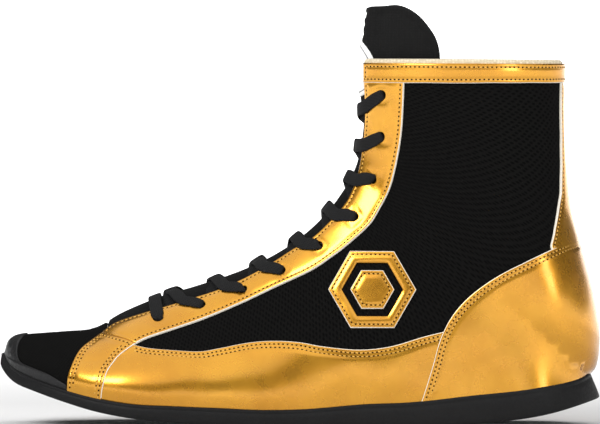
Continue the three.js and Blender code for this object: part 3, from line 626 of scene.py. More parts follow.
def panel(name, edges, top, base, finishes, rows=(), holes=(), inner=False, wavy=0.0, rings=None, grid=GRID):
    """A piece of one layer with a bevelled rim. inner turns its shown side towards the foot."""
    if rings is None:
        last_row = max(rows) if rows else 0
        rings = [RAW_EDGE, 1.25] + [r + d for r in rows for d in (0, 0.85)] + [last_row + 2.6]
    sheet = Sheet(edges, rings, holes, grid)
    sign = -1 if inner else 1
    height = top + sign * seam_profile(sheet.depth, rows) if rows else np.full(len(sheet.s), float(top))
    height = height + wavy * ripples(sheet.s, sheet.a, 1.0) * smooth(sheet.depth, 1, 6)
    for loop in sheet.loops[1:]:
        apart = np.linalg.norm(last(sheet.s, sheet.a) - loop.points.mean(axis=0), axis=1)
        dimple = HOLE_DIMPLE * np.exp(-((apart / (1.9 * HOLE_RADIUS)) ** 4))
        height = height - sign * dimple * (len(holes) > 1)
    points = [offset(sheet.s, sheet.a, height)]
    faces = [tuple(f[::sign]) for f in sheet.faces]
    indices = [0] * len(faces)
    count = count_top = len(sheet.s)
    for k, (loop, band) in enumerate(zip(sheet.loops, sheet.bands)):
        n = len(loop.s)
        points += [offset(loop.s, loop.a, top - sign * RAW_EDGE * 0.8), offset(loop.s, loop.a, base)]
        upper, lower = np.arange(count, count + n), np.arange(count + n, count + 2 * n)
        count += 2 * n
        flip = rim_turns(np.concatenate(points), lower, upper, loop)
        faces += rim_faces(lower, upper, flip) + rim_faces(upper, band, flip)
        indices += [1 if (r and k == 0) else 0 for r in loop.raw] * 2
    uv = [flat(sheet.s, sheet.a)] + [flat(loop.s, loop.a) for loop in sheet.loops for _ in range(2)]
    piece = new_piece(name, np.concatenate(points), faces, finishes, indices, np.concatenate(uv))
    sheet.top = top

    # Away from the seams the shading follows the last and its ripples, not the triangles.
    def surface(s, a):
        return offset(s, a, top + wavy * ripples(s, a, 1.0))

    ds, da = 0.02, 0.002
    along = surface(sheet.s + ds, sheet.a) - surface(sheet.s - ds, sheet.a)
    around = surface(sheet.s, sheet.a + da) - surface(sheet.s, sheet.a - da)
    smoothed = unit(np.cross(along, around))
    smoothed *= np.sign(np.sum(smoothed * normals(sheet.s, sheet.a), axis=1, keepdims=True)) * sign
    normal = np.zeros(3 * len(piece.data.vertices), np.float32)
    piece.data.vertices.foreach_get("normal", normal)
    normal = normal.reshape(-1, 3).astype(float)
    outline = sheet.loops[0]
    seamed = [outline.points[first:stop] for first, stop, seam in outline.spans if len(seam)]
    if seamed and not holes:
        apart = last(sheet.s, sheet.a)[:, None] - np.concatenate(seamed)[None]
        seam_end = max(rows) + 1.6
        share = smooth(np.linalg.norm(apart, axis=2).min(axis=1), seam_end, seam_end + 1.5)[:, None]
        normal[:count_top] = unit(mix(normal[:count_top], smoothed, share))
        piece.data.normals_split_custom_set_from_vertices(normal.tolist())
    return piece, sheet


def quilt(strips, turned=False):
    """Points and faces of a skin over strips of as many points each."""
    n = len(strips[0])
    faces = [
        (r * n + k, (r + 1) * n + k, (r + 1) * n + k + 1, r * n + k + 1)
        for r in range(len(strips) - 1)
        for k in range(n - 1)
    ]
    if turned:
        faces = [(p, s, r, q) for p, q, r, s in faces]
    return np.concatenate(strips), faces


def with_ends(strips, turned=False):
    """As quilt, with a face over each end of the strips."""
    points, faces = quilt(strips, turned)
    n = len(strips[0])
    first = [r * n for r in range(len(strips))]
    final = [r + n - 1 for r in first]
    return points, faces + ([first, final[::-1]] if turned else [first[::-1], final])


def cap(name, line, top, base, finish_material, tip=None, columns=150, rows=34):
    """A piece that covers the toe back to a line in the side view. tip is its height at the toe's end."""

    def height(s):
        return mix(top if tip is None else tip, top, smooth(s, 1.4, 3.2))

    edge = drawn(line)
    half = np.linspace(FEATHER_A, 1, columns // 2)
    a = np.concatenate([half, 2 - half[-2::-1]])
    girth = np.minimum(a, 2 - a)
    order = np.argsort(edge.a)
    reach = np.interp(girth, edge.a[order], edge.s[order])
    share = [(k / rows) ** 2 for k in range(rows)]
    strips = []
    for f in share:
        s = mix(0.02, reach, f)
        strips.append(offset(s, a, mix(height(s), top, f)))
    round_over = [(0.012, 0.06), (0.004, 0.2), (0.0, 0.5)]
    for back, drop in round_over:
        strips.append(offset(reach * (1 - back), a, top - drop * (top - base)))
    strips.append(offset(reach, a, base))
    points, faces = quilt(strips)
    if top < base:
        faces = [face[::-1] for face in faces]
    uv = np.concatenate([flat(mix(0.02, reach, f), a) for f in share + [1.0] * 4])
    return new_piece(name, points, faces, [finish_material], None, uv)


def stitch_rows(name, sheets, thread, shaded_hole):
    """Threads, and needle holes made as beads coloured with painted shade, along every seam row of some
    sheets, as one piece.
    """
    spots = []
    for sheet in sheets:
        loop = sheet.loops[0]
        for first, stop, rows in loop.spans:
            for row in rows:
                ring_s, ring_a = loop.inset(row)
                index = np.arange(first, stop + 1) % len(ring_s)
                s, a = ring_s[index], ring_a[index]
                p = last(s, a)
                keep = np.abs(distance_to(p, loop.points) - row) < 0.2
                s, a, p = s[keep], a[keep], p[keep]
                if len(s) < 3:
                    continue
                reach = run_lengths(p)
                at = np.arange(0.4, reach[-1] - 0.3, STITCH_PITCH)
                tops = np.full(len(at), sheet.top)
                spots.append((np.interp(at, reach, s), np.interp(at, reach, a), tops))
    s = np.concatenate([p[0] for p in spots])
    a = np.concatenate([p[1] for p in spots])
    top = np.concatenate([p[2] for p in spots])
    cuts = np.cumsum([0] + [len(p[0]) for p in spots])
    centre = offset(s, a, top - 0.03)
    normal = normals(s, a)
    direction = np.zeros_like(centre)
    for c0, c1 in zip(cuts[:-1], cuts[1:]):
        if c1 - c0 > 1:
            direction[c0:c1] = np.gradient(centre[c0:c1], axis=0)
    direction = unit(direction)
    side = np.cross(normal, direction)
    points, faces, indices = [], [], []

    def lump(along, across, up, where, sink, slot, rings_, segments):
        """A small half-buried bead beside each spot."""
        ring = []
        for tip, spread in rings_:
            for k in range(segments):
                angle = 2 * np.pi * k / segments
                ring.append((tip * along, np.cos(angle) * spread * across, np.sin(angle) * spread * up))
        ring = np.array(ring)
        base = centre + direction * where - normal * sink
        grid_points = (
            base[:, None]
            + direction[:, None] * ring[None, :, 0:1]
            + side[:, None] * ring[None, :, 1:2]
            + normal[:, None] * ring[None, :, 2:3]
        )
        start = sum(len(p) for p in points)
        n = len(ring)
        for i in range(len(centre)):
            for r in range(len(rings_) - 1):
                for k in range(segments):
                    q = start + i * n + r * segments
                    after = q + (k + 1) % segments
                    faces.append((q + k, after, after + segments, q + segments + k))
                    indices.append(slot)
        points.append(grid_points.reshape(-1, 3))

    thread_rings = [(-1, 0.15), (-0.75, 0.85), (0, 1), (0.75, 0.85), (1, 0.15)]
    lump(0.66, 0.3, 0.26, 0, 0.02, 0, thread_rings, 6)
    shaded_hole_rings = [(-1, 0.1), (-0.6, 0.8), (0.6, 0.8), (1, 0.1)]
    # Between the threads, a low bead coloured with painted shade stands for each needle hole.
    lump(0.5, 0.5, 0.13, STITCH_PITCH / 2, -0.02, 1, shaded_hole_rings, 6)
    return new_piece(name, np.concatenate(points), faces, [thread, shaded_hole], indices)


# ---------------------------------------------------------------- materials


class Nodes:
    """A short way to wire a material's nodes."""

    def __init__(self, name):
        self.material = bpy.data.materials.new(name)
        self.material.use_nodes = True
        self.tree = self.material.node_tree
        self.tree.nodes.clear()
        self.shader = self.add("ShaderNodeBsdfPrincipled")
        output = self.add("ShaderNodeOutputMaterial")
        self.link(self.shader.outputs[0], output.inputs["Surface"])
        self.place = self.add("ShaderNodeTexCoord").outputs["Object"]

    def add(self, kind, **settings):
        node = self.tree.nodes.new(kind)
        for key, value in settings.items():
            setattr(node, key, value)
        return node

    def link(self, source, target):
        self.tree.links.new(source, target)

    def value(self, target, value):
        if isinstance(value, bpy.types.NodeSocket):
            self.link(value, target)
        else:
            target.default_value = value

    def math(self, operation, a, b):
        node = self.add("ShaderNodeMath", operation=operation)
        self.value(node.inputs[0], a)
        self.value(node.inputs[1], b)
        return node.outputs[0]

    def mapped(self, source, scale, turn):
        """Coordinates scaled, and turned about Z by some degrees."""
        node = self.add("ShaderNodeMapping")
        self.link(source, node.inputs["Vector"])
        node.inputs["Scale"].default_value = scale
        node.inputs["Rotation"].default_value = (0, 0, math.radians(turn))
        return node.outputs[0]

    def noise(self, scale, detail=3.0, rough=0.55):
        node = self.add("ShaderNodeTexNoise")
        self.link(self.place, node.inputs["Vector"])
        node.inputs["Scale"].default_value = scale
        node.inputs["Detail"].default_value = detail
        node.inputs["Roughness"].default_value = rough
        return node.outputs["Fac"]

    def cells(self, scale, feature="F1", randomness=1.0, place=None, dimensions="3D"):
        node = self.add("ShaderNodeTexVoronoi", voronoi_dimensions=dimensions, feature=feature)
        self.link(place or self.place, node.inputs["Vector"])
        node.inputs["Scale"].default_value = scale
        node.inputs["Randomness"].default_value = randomness
        return node.outputs["Distance"]

    def colour(self, source, stops):
        """Base colour from a ramp of places and colours."""
        node = self.add("ShaderNodeValToRGB")
        self.link(source, node.inputs["Fac"])
        ramp = node.color_ramp
        while len(ramp.elements) < len(stops):
            ramp.elements.new(0.5)
        for element, (at, colour) in zip(ramp.elements, stops):
            element.position = at
            element.color = (*colour, 1)
        self.link(node.outputs["Color"], self.shader.inputs["Base Color"])

    def range(self, source, low, high, from_low=0.0, from_high=1.0):
        node = self.add("ShaderNodeMapRange")
        self.link(source, node.inputs["Value"])
        ends = {"From Min": from_low, "From Max": from_high, "To Min": low, "To Max": high}
        for key, value in ends.items():
            node.inputs[key].default_value = value
        return node.outputs[0]

    def bump(self, height, strength, distance):
        node = self.add("ShaderNodeBump")
        self.link(height, node.inputs["Height"])
        node.inputs["Strength"].default_value = strength
        node.inputs["Distance"].default_value = distance
        self.link(node.outputs[0], self.shader.inputs["Normal"])

    def wave(self, scale, direction, place=None, distortion=0.0):
        """Straight bands."""
        node = self.add("ShaderNodeTexWave", wave_type="BANDS", bands_direction=direction)
        self.link(place or self.place, node.inputs["Vector"])
        node.inputs["Scale"].default_value = scale
        node.inputs["Distortion"].default_value = distortion
        return node.outputs["Fac"]

    def set(self, **values):
        for key, value in values.items():
            self.value(self.shader.inputs[key.replace("_", " ")], value)


def gold_leather():
    """Smooth coated leather: a warm metal film over a very fine grain."""
    m = Nodes("gold_leather")
    broad = m.noise(38, 3)
    fine = m.cells(1500, "SMOOTH_F1")
    m.colour(broad, [(0.3, (0.52, 0.230, 0.014)), (0.7, (0.62, 0.298, 0.022))])
    m.set(Roughness=m.range(m.noise(120, 3), 0.25, 0.30, 0.3, 0.7))
    m.set(Metallic=0.88, Coat_Weight=0.5, Coat_Roughness=0.16)
    m.bump(m.math("ADD", m.math("MULTIPLY", fine, 0.08), m.noise(160, 3)), 0.06, 0.0003)
    return m.material


def cut_edge():
    """The pale cloth backing at a cut edge."""
    m = Nodes("cut_edge")
    fibre = m.noise(2600, 4)
    m.colour(fibre, [(0.3, (0.60, 0.54, 0.43)), (0.7, (0.86, 0.82, 0.74))])
    m.set(Roughness=0.85)
    m.bump(fibre, 0.5, 0.0002)
    return m.material


def gold_thread():
    """Twisted thread."""
    m = Nodes("gold_thread")
    twist = m.wave(700, "DIAGONAL")
    m.colour(twist, [(0.2, (0.50, 0.26, 0.04)), (0.8, (0.80, 0.48, 0.10))])
    m.set(Roughness=0.5, Metallic=0.35)
    m.bump(twist, 0.4, 0.0001)
    return m.material


def needle_hole_shade():
    """Painted shade: dark brown for the shadowed pit where the thread goes through."""
    m = Nodes("needle_hole_shade")
    m.colour(m.noise(900), [(0.3, (0.030, 0.011, 0.002)), (0.7, (0.055, 0.022, 0.004))])
    m.set(Roughness=0.9, Specular_IOR_Level=0.05)
    return m.material


def black_mesh():
    """Knitted mesh: staggered rows of small round holes between slanted ribs of matt black yarn."""
    m = Nodes("black_mesh")
    cloth = m.add("ShaderNodeUVMap", uv_map="cloth").outputs["UV"]
    slant = m.mapped(cloth, (1, 0.6, 1), 32)
    holes = m.cells(720, "F1", 0.22, slant, "2D")
    rib = m.range(m.wave(190, "X", slant, 0.8), 0.88, 1.0)
    yarn = m.math("MULTIPLY", m.range(holes, 0.0, 1.0, 0.12, 0.45), rib)
    m.colour(yarn, [(0.1, (0.0012, 0.0012, 0.0012)), (0.9, (0.0046, 0.0045, 0.0043))])
    m.set(Roughness=0.95, Specular_IOR_Level=0.05)
    m.bump(yarn, 0.16, 0.0003)
    return m.material


def knit(name, dark, light, scale=700.0, sheen=0.15):
    """A close knit, for the tongue, the lining and the footbed."""
    m = Nodes(name)
    wale = m.range(m.wave(scale * 0.55, "Z", None, 1.2), 0.6, 1.0)
    loops = m.range(m.cells(scale, "F1", 0.4), 1.0, 0.2, 0.0, 0.6)
    yarn = m.math("MULTIPLY", loops, wale)
    m.colour(yarn, [(0.1, dark), (0.8, light)])
    m.set(Roughness=0.9, Sheen_Weight=sheen, Sheen_Roughness=0.4, Specular_IOR_Level=0.25)
    m.bump(yarn, 0.5, 0.0003)
    return m.material


def sole_rubber():
    """Moulded rubber with a fine matt grain."""
    m = Nodes("sole_rubber")
    grain = m.noise(900, 5, 0.6)
    m.colour(m.noise(45, 4), [(0.3, (0.0028, 0.0028, 0.003)), (0.75, (0.0055, 0.0055, 0.0058))])
    m.set(Roughness=m.range(grain, 0.5, 0.72, 0.3, 0.7), Specular_IOR_Level=0.2)
    m.bump(grain, 0.3, 0.0002)
    return m.material


def black_leather():
    """Pebbled leather."""
    m = Nodes("black_leather")
    pebble = m.cells(620, "SMOOTH_F1")
    m.colour(m.noise(60, 3), [(0.3, (0.005, 0.005, 0.0052)), (0.7, (0.010, 0.010, 0.0105))])
    m.set(Roughness=m.range(pebble, 0.34, 0.5, 0.0, 0.6), Specular_IOR_Level=0.3)
    m.bump(pebble, 0.5, 0.0003)
    return m.material


def lace_weave():
    """Flat braid: fine V-shaped ribs."""
    m = Nodes("lace_weave")
    left = m.wave(420, "DIAGONAL")
    right = m.wave(420, "DIAGONAL", m.mapped(m.place, (1, -1, 1), 35))
    braid = m.math("MAXIMUM", left, right)
    m.colour(braid, [(0.2, (0.0015, 0.0015, 0.0015)), (0.9, (0.009, 0.009, 0.0095))])
    m.set(Roughness=0.85, Sheen_Weight=0.015, Sheen_Roughness=0.4, Specular_IOR_Level=0.2)
    m.bump(braid, 0.6, 0.0002)
    return m.material


def label_cloth(name, dark, light):
    """A close woven label."""
    m = Nodes(name)
    weave = m.wave(500, "Z")
    m.colour(weave, [(0.2, dark), (0.8, light)])
    m.set(Roughness=0.6)
    m.bump(weave, 0.3, 0.0001)
    return m.material


def plastic(name, dark, light):
    """Smooth film or board, a little uneven in colour and gloss."""
    m = Nodes(name)
    m.colour(m.noise(200), [(0.3, dark), (0.7, light)])
    m.set(Roughness=m.range(m.noise(600), 0.25, 0.4))
    return m.material


GOLD = gold_leather()
EDGE = cut_edge()
THREAD = gold_thread()
HOLE_SHADE_PAINT = needle_hole_shade()
MESH = black_mesh()
TONGUE_KNIT = knit("tongue_knit", (0.0010, 0.0010, 0.0010), (0.0045, 0.0044, 0.0042), 800.0, 0.004)
LINING = knit("lining_knit", (0.50, 0.42, 0.28), (0.76, 0.68, 0.52), 650.0, 0.3)
FOOTBED = knit("footbed_knit", (0.008, 0.008, 0.008), (0.045, 0.045, 0.045), 600.0)
RUBBER = sole_rubber()
LEATHER = black_leather()
LACE = lace_weave()
LABEL = label_cloth("label_cloth", (0.70, 0.70, 0.68), (0.88, 0.88, 0.86))
LABEL_RING = label_cloth("label_ring", (0.10, 0.10, 0.11), (0.20, 0.20, 0.22))
AGLET = plastic("aglet_film", (0.010, 0.010, 0.010), (0.022, 0.022, 0.022))
BOARD = plastic("fibre_board", (0.30, 0.20, 0.10), (0.42, 0.30, 0.17))


def finish(piece, body, slot, *nodes):
    """Rides on a body and stands for CAD nodes. slot is not used."""
    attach(piece, body)
    if nodes:
        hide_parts(*nodes)
    return piece


# ---------------------------------------------------------------- camera, light and floor


def studio():
    """Long lens, almost level with the boot, in soft light over a pale sweep."""
    low, high = (Vector(p) for p in CAD_BOX)
    middle = (low + high) / 2
    camera = bpy.data.cameras.new("camera")
    camera.lens = LENS
    camera.sensor_width = SENSOR
    camera.clip_start = 0.01
    distance = (high.x - low.x) * FRAME_MARGIN * LENS / SENSOR
    tilt = math.radians(CAMERA_TILT)
    target = Vector((middle.x, middle.y, low.z + CAMERA_TARGET))
    place = target + Vector((0, -math.cos(tilt) * distance, math.sin(tilt) * distance))
    bpy.context.scene.camera = placed("camera", camera, place, (math.radians(90) - tilt, 0, 0))

    def lamp(name, place, size, power):
        light = bpy.data.lights.new(name, "AREA")
        light.shape = "RECTANGLE"
        light.size, light.size_y = size
        light.energy = power
        aim = Vector((0, 0, 0.09)) - Vector(place)
        placed(name, light, place, aim.to_track_quat("-Z", "Y").to_euler())

    lamp("key_light", (-0.6, -0.95, 0.75), (0.5, 0.35), 9.0)
    lamp("fill_light", (0.8, -0.9, 0.45), (0.25, 0.5), 2.6)
    overhead = bpy.data.lights.new("overhead_light", "SUN")
    overhead.energy = 2.3
    overhead.angle = math.radians(100)
    placed("overhead_light", overhead, turn=(math.radians(14), 0, 0))

    world = bpy.data.worlds.new("studio_air")
    world.use_nodes = True
    world.node_tree.nodes["Background"].inputs["Color"].default_value = (1, 1, 1, 1)
    world.node_tree.nodes["Background"].inputs["Strength"].default_value = 0.12
    bpy.context.scene.world = world
    bpy.context.scene.view_settings.view_transform = "Standard"

    # A round floor with a low pale wall a long way off, the same from every side.
    n = WALL_SIDES
    around = [k * math.pi / (n / 2) for k in range(n)]
    around = [(FLOOR_RADIUS * math.cos(turn), FLOOR_RADIUS * math.sin(turn)) for turn in around]
    points = [(x, y, z) for z in (0, WALL_HEIGHT) for x, y in around]
    wall = [(k, (k + 1) % n, n + (k + 1) % n, n + k) for k in range(n)]
    for name, faces, glow in (("studio_floor", [tuple(range(n))], 0.0), ("studio_wall", wall, 1.0)):
        paper = Nodes(name)
        paper.colour(paper.noise(3), [(0.3, (0.79, 0.79, 0.79)), (0.7, (0.82, 0.82, 0.82))])
        reach = paper.add("ShaderNodeVectorMath", operation="LENGTH")
        paper.link(paper.place, reach.inputs[0])
        paper.set(Roughness=1.0, Specular_IOR_Level=0.0, Emission_Color=(1, 1, 1, 1))
        # The floor brightens away from the boot until it meets the wall without a line.
        paper.set(Emission_Strength=paper.range(reach.outputs["Value"], glow, 1.0, 0.25, 1.5))
        mesh = bpy.data.meshes.new(name)
        mesh.from_pydata(points, [], faces)
        mesh.materials.append(paper.material)
        holder = placed(name, mesh)


# ---------------------------------------------------------------- upper


def on_side(edges, side):
    """The outline for one side. The drawn one is the outer side's."""
    if side == "lateral":
        return edges
    return [edge.mirrored() for edge in reversed(edges)]


def shifted(points, dx, dz):
    return [(x + dx, z + dz) for x, z in points]


def between(first, then):
    """A straight join in s and a, from the end of one edge to the start of the next."""
    s0, a0, s1, a1 = first.s[-1], first.a[-1], then.s[0], then.a[0]
    length = np.linalg.norm(last([s0], [a0]) - last([s1], [a1]))
    n = max(2, int(length / OUTLINE_STEP) + 1)
    return Edge(np.linspace(s0, s1, n), np.linspace(a0, a1, n))


def closed(edges):
    """Fills each gap between one edge and the next."""
    out = []
    for edge, nxt in zip(edges, edges[1:] + edges[:1]):
        out.append(edge)
        if np.linalg.norm(last([edge.s[-1]], [edge.a[-1]]) - last([nxt.s[0]], [nxt.a[0]])) > 0.6:
            out.append(between(edge, nxt))
    return out


def hole_edges(side):
    s, a = locate(LACE_HOLES)
    return [circle(si, ai if side == "lateral" else 2 - ai, HOLE_RADIUS) for si, ai in zip(s, a)]


def hexagon(radius):
    """Corners of the generic ankle patch, back to the first one."""
    x, z = EMBLEM_CENTRE
    turns = [i * math.pi / 3 for i in range(7)]
    return [(x + radius * math.cos(turn), z + radius * math.sin(turn)) for turn in turns]


def gold_piece(name, edges, node, drop, **settings):
    """A gold leather panel whose face is a little below GOLD_TOP, where it tucks under its neighbours."""
    piece, sheet = panel(name, edges, GOLD_TOP - drop, GOLD_BASE, [GOLD, EDGE], **settings)
    finish(piece, "boot", "gold_leather", node)
    return sheet


def mesh_quarter(side):
    """The mesh side of the shaft, and the lining behind it."""
    holes = hole_edges(side)
    front = drawn(shifted(TOE_SEAM, 2.0, 0)).reversed()
    edge = drawn(FACING_EDGE[1:])
    back = Edge(np.linspace(COLLAR_S, HEEL_S, 50), np.full(50, 0.0))
    collar = Edge(np.full(40, float(COLLAR_S)), np.linspace(edge.a[-1], 0.0, 40))
    base = feather(front.s[0], HEEL_S).reversed()
    outline = on_side(closed([front, edge, collar, back, base]), side)
    cloth, _ = panel(f"quarter_{side}_cloth", outline, MESH_TOP, LAYER_SPLIT, [MESH, MESH], holes=holes)
    hidden = ["heel_stiffener"] if side == "lateral" else []
    finish(cloth, "boot", "black_mesh", f"quarter_{side}", *hidden)
    finishes = [LINING, LINING]
    name = f"lining_{side}_cloth"
    lining, _ = panel(name, outline, LINING_FACE, LAYER_SPLIT, finishes, holes=holes, inner=True)
    finish(lining, "boot", "lining_fabric", f"quarter_lining_{side}", f"facing_lining_{side}")


def eyestay(side):
    """Facing strip with the lace holes."""
    facing = drawn(FACING_EDGE[:-1] + [(31, COLLAR_BOTTOM + 1.5)], rows=ONE_ROW)
    rear = drawn(EYESTAY_REAR, raw=True, rows=ONE_ROW).reversed()
    outline = on_side(closed([facing, rear, drawn(TOE_CORNER)]), side)
    holes = hole_edges(side)
    name = f"eyestay_{side}"
    return gold_piece(f"{name}_leather", outline, name, 0, rows=ONE_ROW, holes=holes, wavy=0.16)


def toe_overlay(side):
    """Small overlay behind the toe cloth."""
    toe = drawn(TOE_SEAM, rows=TWO_ROWS)
    rear = drawn(MUDGUARD_FRONT, raw=True, rows=TWO_ROWS)
    top = drawn(TOE_CORNER, rows=ONE_ROW)
    base = feather(toe.s[-1], rear.s[0])
    outline = on_side(closed([toe, base, rear, top]), side)
    name = f"toe_overlay_{side}"
    return gold_piece(f"{name}_leather", outline, name, 0.1, rows=TWO_ROWS, wavy=0.16)


def mudguard(side):
    """Long panel along the sole, tucked under its neighbours."""
    front = drawn(shifted(MUDGUARD_FRONT, -1.2, -0.4))
    top = drawn([(-80.5, 39.6)] + MUDGUARD_TOP[1:] + [(72, 47.2)], raw=True, rows=TWO_ROWS)
    rear = drawn(shifted(COUNTER_EDGE[:6], 4, -2)).reversed()
    base = feather(rear.s[-1], front.s[0])
    outline = on_side(closed([top, rear, base, front]), side)
    name = f"mudguard_{side}"
    return gold_piece(f"{name}_leather", outline, name, 0.55, rows=TWO_ROWS, wavy=0.2)


def sides(corners, rows=()):
    """Straight cut edges from corner to corner."""
    return [drawn([p, q], raw=True, rows=rows) for p, q in zip(corners, corners[1:])]


def emblem(side):
    """Generic patch on the ankle: a six-sided ring round a small centre."""
    gap = sides(hexagon(EMBLEM_RADIUS - EMBLEM_RING))
    s = np.concatenate([e.s[:-1] for e in gap] + [gap[0].s[:1]])
    a = np.concatenate([e.a[:-1] for e in gap] + [gap[0].a[:1]])
    gap = Edge(s, a if side == "lateral" else 2 - a, raw=True)
    sheets = []
    parts = (("ring", EMBLEM_RADIUS, [gap], 3.6), ("heart", EMBLEM_HEART, (), 4.5))
    for part, radius, holes, middle in parts:
        outline = on_side(sides(hexagon(radius), PATCH_ROW), side)
        name = f"emblem_{part}_{side}"
        rings = [RAW_EDGE, 1.1, 1.7, 2.6, middle]
        sheets.append(
            gold_piece(f"{name}_leather", outline, name, 0.1, rows=PATCH_ROW, holes=holes, rings=rings)
        )
    return sheets


def heel_counter():
    """Round the back of the heel from side to side."""
    edge = drawn(COUNTER_EDGE, raw=True, rows=TWO_ROWS)
    base = feather(edge.s[0], HEEL_S)
    base_back = Edge(base.s[::-1], -base.a[::-1])
    outline = closed([base.reversed(), edge, edge.behind(), base_back.reversed()])
    return gold_piece("heel_counter_leather", outline, "heel_counter", 0, rows=TWO_ROWS, wavy=0.18)


def back_stay():
    """Up the middle of the back, wider towards the heel counter."""
    strap_s = np.linspace(17.4, 21.65, 60)
    tries = np.linspace(0.001, 0.45, 120)

    def strap_line(sign):
        a = []
        for s in strap_s:
            points = last(np.full(120, s), tries)
            half = np.interp(points[:, 2], *zip(*STRAP_HALF_WIDTH))
            a.append(np.interp(0, np.abs(points[:, 1] - spine(125)) - half, tries))
        return Edge(strap_s, sign * np.array(a), raw=True, rows=ONE_ROW)

    outline = closed([strap_line(1), strap_line(-1).reversed()])
    return gold_piece("back_stay_leather", outline, "back_stay", 0.15, rows=ONE_ROW, wavy=0.1)


def collar_band():
    """Round the back from facing to facing. Also gives where it ends."""
    front = drawn([(31, COLLAR_BOTTOM), (31, COLLAR_TOP)], rows=ONE_ROW)
    a_low, a_high = front.a[0], front.a[-1]
    low_s, low_a = locate([(x, COLLAR_BOTTOM) for x in (31, 60, 90, 110, 124)])
    turn = np.linspace(a_low, -a_low, 120)
    bottom = Edge(np.interp(np.abs(turn), low_a[::-1], low_s[::-1]), turn, raw=True, rows=PATCH_ROW)
    top = Edge(np.full(120, float(COLLAR_S)), np.linspace(a_high, -a_high, 120), rows=PATCH_ROW)
    outline = closed([front, top, front.behind(), bottom.reversed()])
    rings = [RAW_EDGE, 1.1, 1.7, 2.5, 3.6]
    name = "collar_band"
    sheet = gold_piece(f"{name}_leather", outline, name, -0.35, rows=PATCH_ROW, rings=rings, wavy=0.12)
    return sheet, a_high


def collar_roll(a_high):
    """Soft roll where the lining turns over the collar."""
    turn = np.linspace(a_high + 0.004, -a_high - 0.004, 160)
    arc = np.linspace(0, np.pi, 9)
    outer, inner, rise = 0.5, LINING_FACE - 0.5, 2.3
    section = [(mix(outer, inner, (1 - math.cos(t)) / 2), rise * math.sin(t) ** 0.8) for t in arc]
    section = [(outer, -1.2)] + section + [(inner, -2.5), (inner + 0.5, -6)]
    rows = [offset(np.full(160, float(COLLAR_S)), turn, h) + (0, 0, z - 0.3) for h, z in section]
    points, faces = quilt(rows, turned=True)
    finish(new_piece("collar_roll", points, faces, [LINING]), "boot", "lining_fabric")


def upper():
    """Every piece of the upper, and the stitches along their seams."""
    line = shifted(TOE_SEAM, 1.6, 0)
    vamp = cap("vamp_cloth", line, MESH_TOP, LAYER_SPLIT, MESH)
    finish(vamp, "boot", "black_mesh", "vamp", "toe_puff")
    lining = cap("lining_toe_cloth", line, LINING_FACE, LAYER_SPLIT, LINING)
    finish(lining, "boot", "lining_fabric", "vamp_lining")
    gold_sheets = []
    for side in ("lateral", "medial"):
        mesh_quarter(side)
        gold_sheets += [eyestay(side), toe_overlay(side), mudguard(side)] + emblem(side)
    gold_sheets += [heel_counter(), back_stay()]
    band, a_high = collar_band()
    gold_sheets.append(band)
    finish(stitch_rows("gold_seams", gold_sheets, THREAD, HOLE_SHADE_PAINT), "boot", "gold_leather")
    collar_roll(a_high)
    rand = cap("toe_rand_leather", RAND_EDGE, RAND_TOP, GOLD_BASE, LEATHER, tip=RAND_TOE)
    finish(rand, "boot", "black_leather", "toe_rand")


# ---------------------------------------------------------------- sole and footbed


def plan(s, margin):
    """Half-width and shift along x of the foot's plan, grown by a margin."""
    e = 0.02

    def width(at):
        values = rungs(at)
        return values[4] * np.sqrt(np.clip(1 - values[5], 0, 1))

    s0, s1 = np.clip(s - e, 0, HEEL_S), np.clip(s + e, 0, HEEL_S)
    dx = rungs(s1)[0] - rungs(s0)[0]
    dw = width(s1) - width(s0)
    length = np.hypot(dx, dw)
    return width(s) + margin * dx / length, -margin * dw / length


def sole_point(s, share, rise, margin):
    """Right-hand side points of the sole: share of the way down to the tread, rise, margin."""
    lx, lz = rungs(s)[:2]
    bx, bz = interpolate(SOLE_BOTTOM, s).T
    is_flat = (s >= TREAD_FLAT[0]) & (s <= TREAD_FLAT[1])
    bz = np.where(is_flat, 0, np.maximum(bz, 0))
    half, shift = plan(s, margin)
    return mix(lx, bx, share) + shift, np.maximum(half, 0.3), mix(lz, bz, share) + rise


def outsole():
    """Side wall with its lip and grooves, and a tread of shallow diamonds."""
    nose = 0.01 + 3 * np.linspace(0, 1, 40) ** 2
    heel = HEEL_S - 1.5 * np.linspace(1, 0, 44) ** 2
    s = np.concatenate([nose, np.linspace(3.01, HEEL_S - 1.5, 190)[1:-1], heel])
    margin = mix(mix(1.0, RAND_TOE, smooth(s, 0, 0.8)), SOLE_MARGIN, smooth(s, 3, 6))
    levels = [(0.0, SOLE_LIP - 0.1, -2.0), (0.0, SOLE_LIP + 0.1, -1.1), (0.0, SOLE_LIP, -0.4)]
    levels += [(0.0, SOLE_LIP - 0.5, -0.05), (0.06, 0.0, 0.0), (0.10, 0, -0.22), (0.14, 0, 0.0)]
    levels += [(0.35, 0, 0.05), (0.6, 0, 0.0), (0.85, 0, -0.15), (0.96, 0.0, -0.5), (1.0, 0.0, -1.2)]
    wall = [sole_point(s, share, rise, margin + extra) for share, rise, extra in levels]
    rows = []
    for side in (-1, 1):
        rows.append([np.stack([x, spine(x) + side * half, z], axis=1) for x, half, z in wall])
    x, half, z = wall[-1]
    bottom = []
    for k in range(1, TREAD_COLUMNS):
        y = mix(-half, half, k / TREAD_COLUMNS)
        wide = np.abs(y) < half - TREAD_BORDER
        diamond = sum(np.abs(np.mod((x + way * y) / TREAD_PITCH, 1) - 0.5) for way in (1, -1))
        groove = TREAD_DEPTH * smooth(0.5 - np.abs(diamond - 0.5), 0.28, 0.42) * wide
        bottom.append(np.stack([x, spine(x) + y, z + groove], axis=1))
    points, faces = with_ends(rows[0] + bottom + rows[1][::-1])
    piece = new_piece("sole_moulding", points, [f[::-1] for f in faces], [RUBBER])
    finish(piece, "boot", "sole_rubber", "outsole")


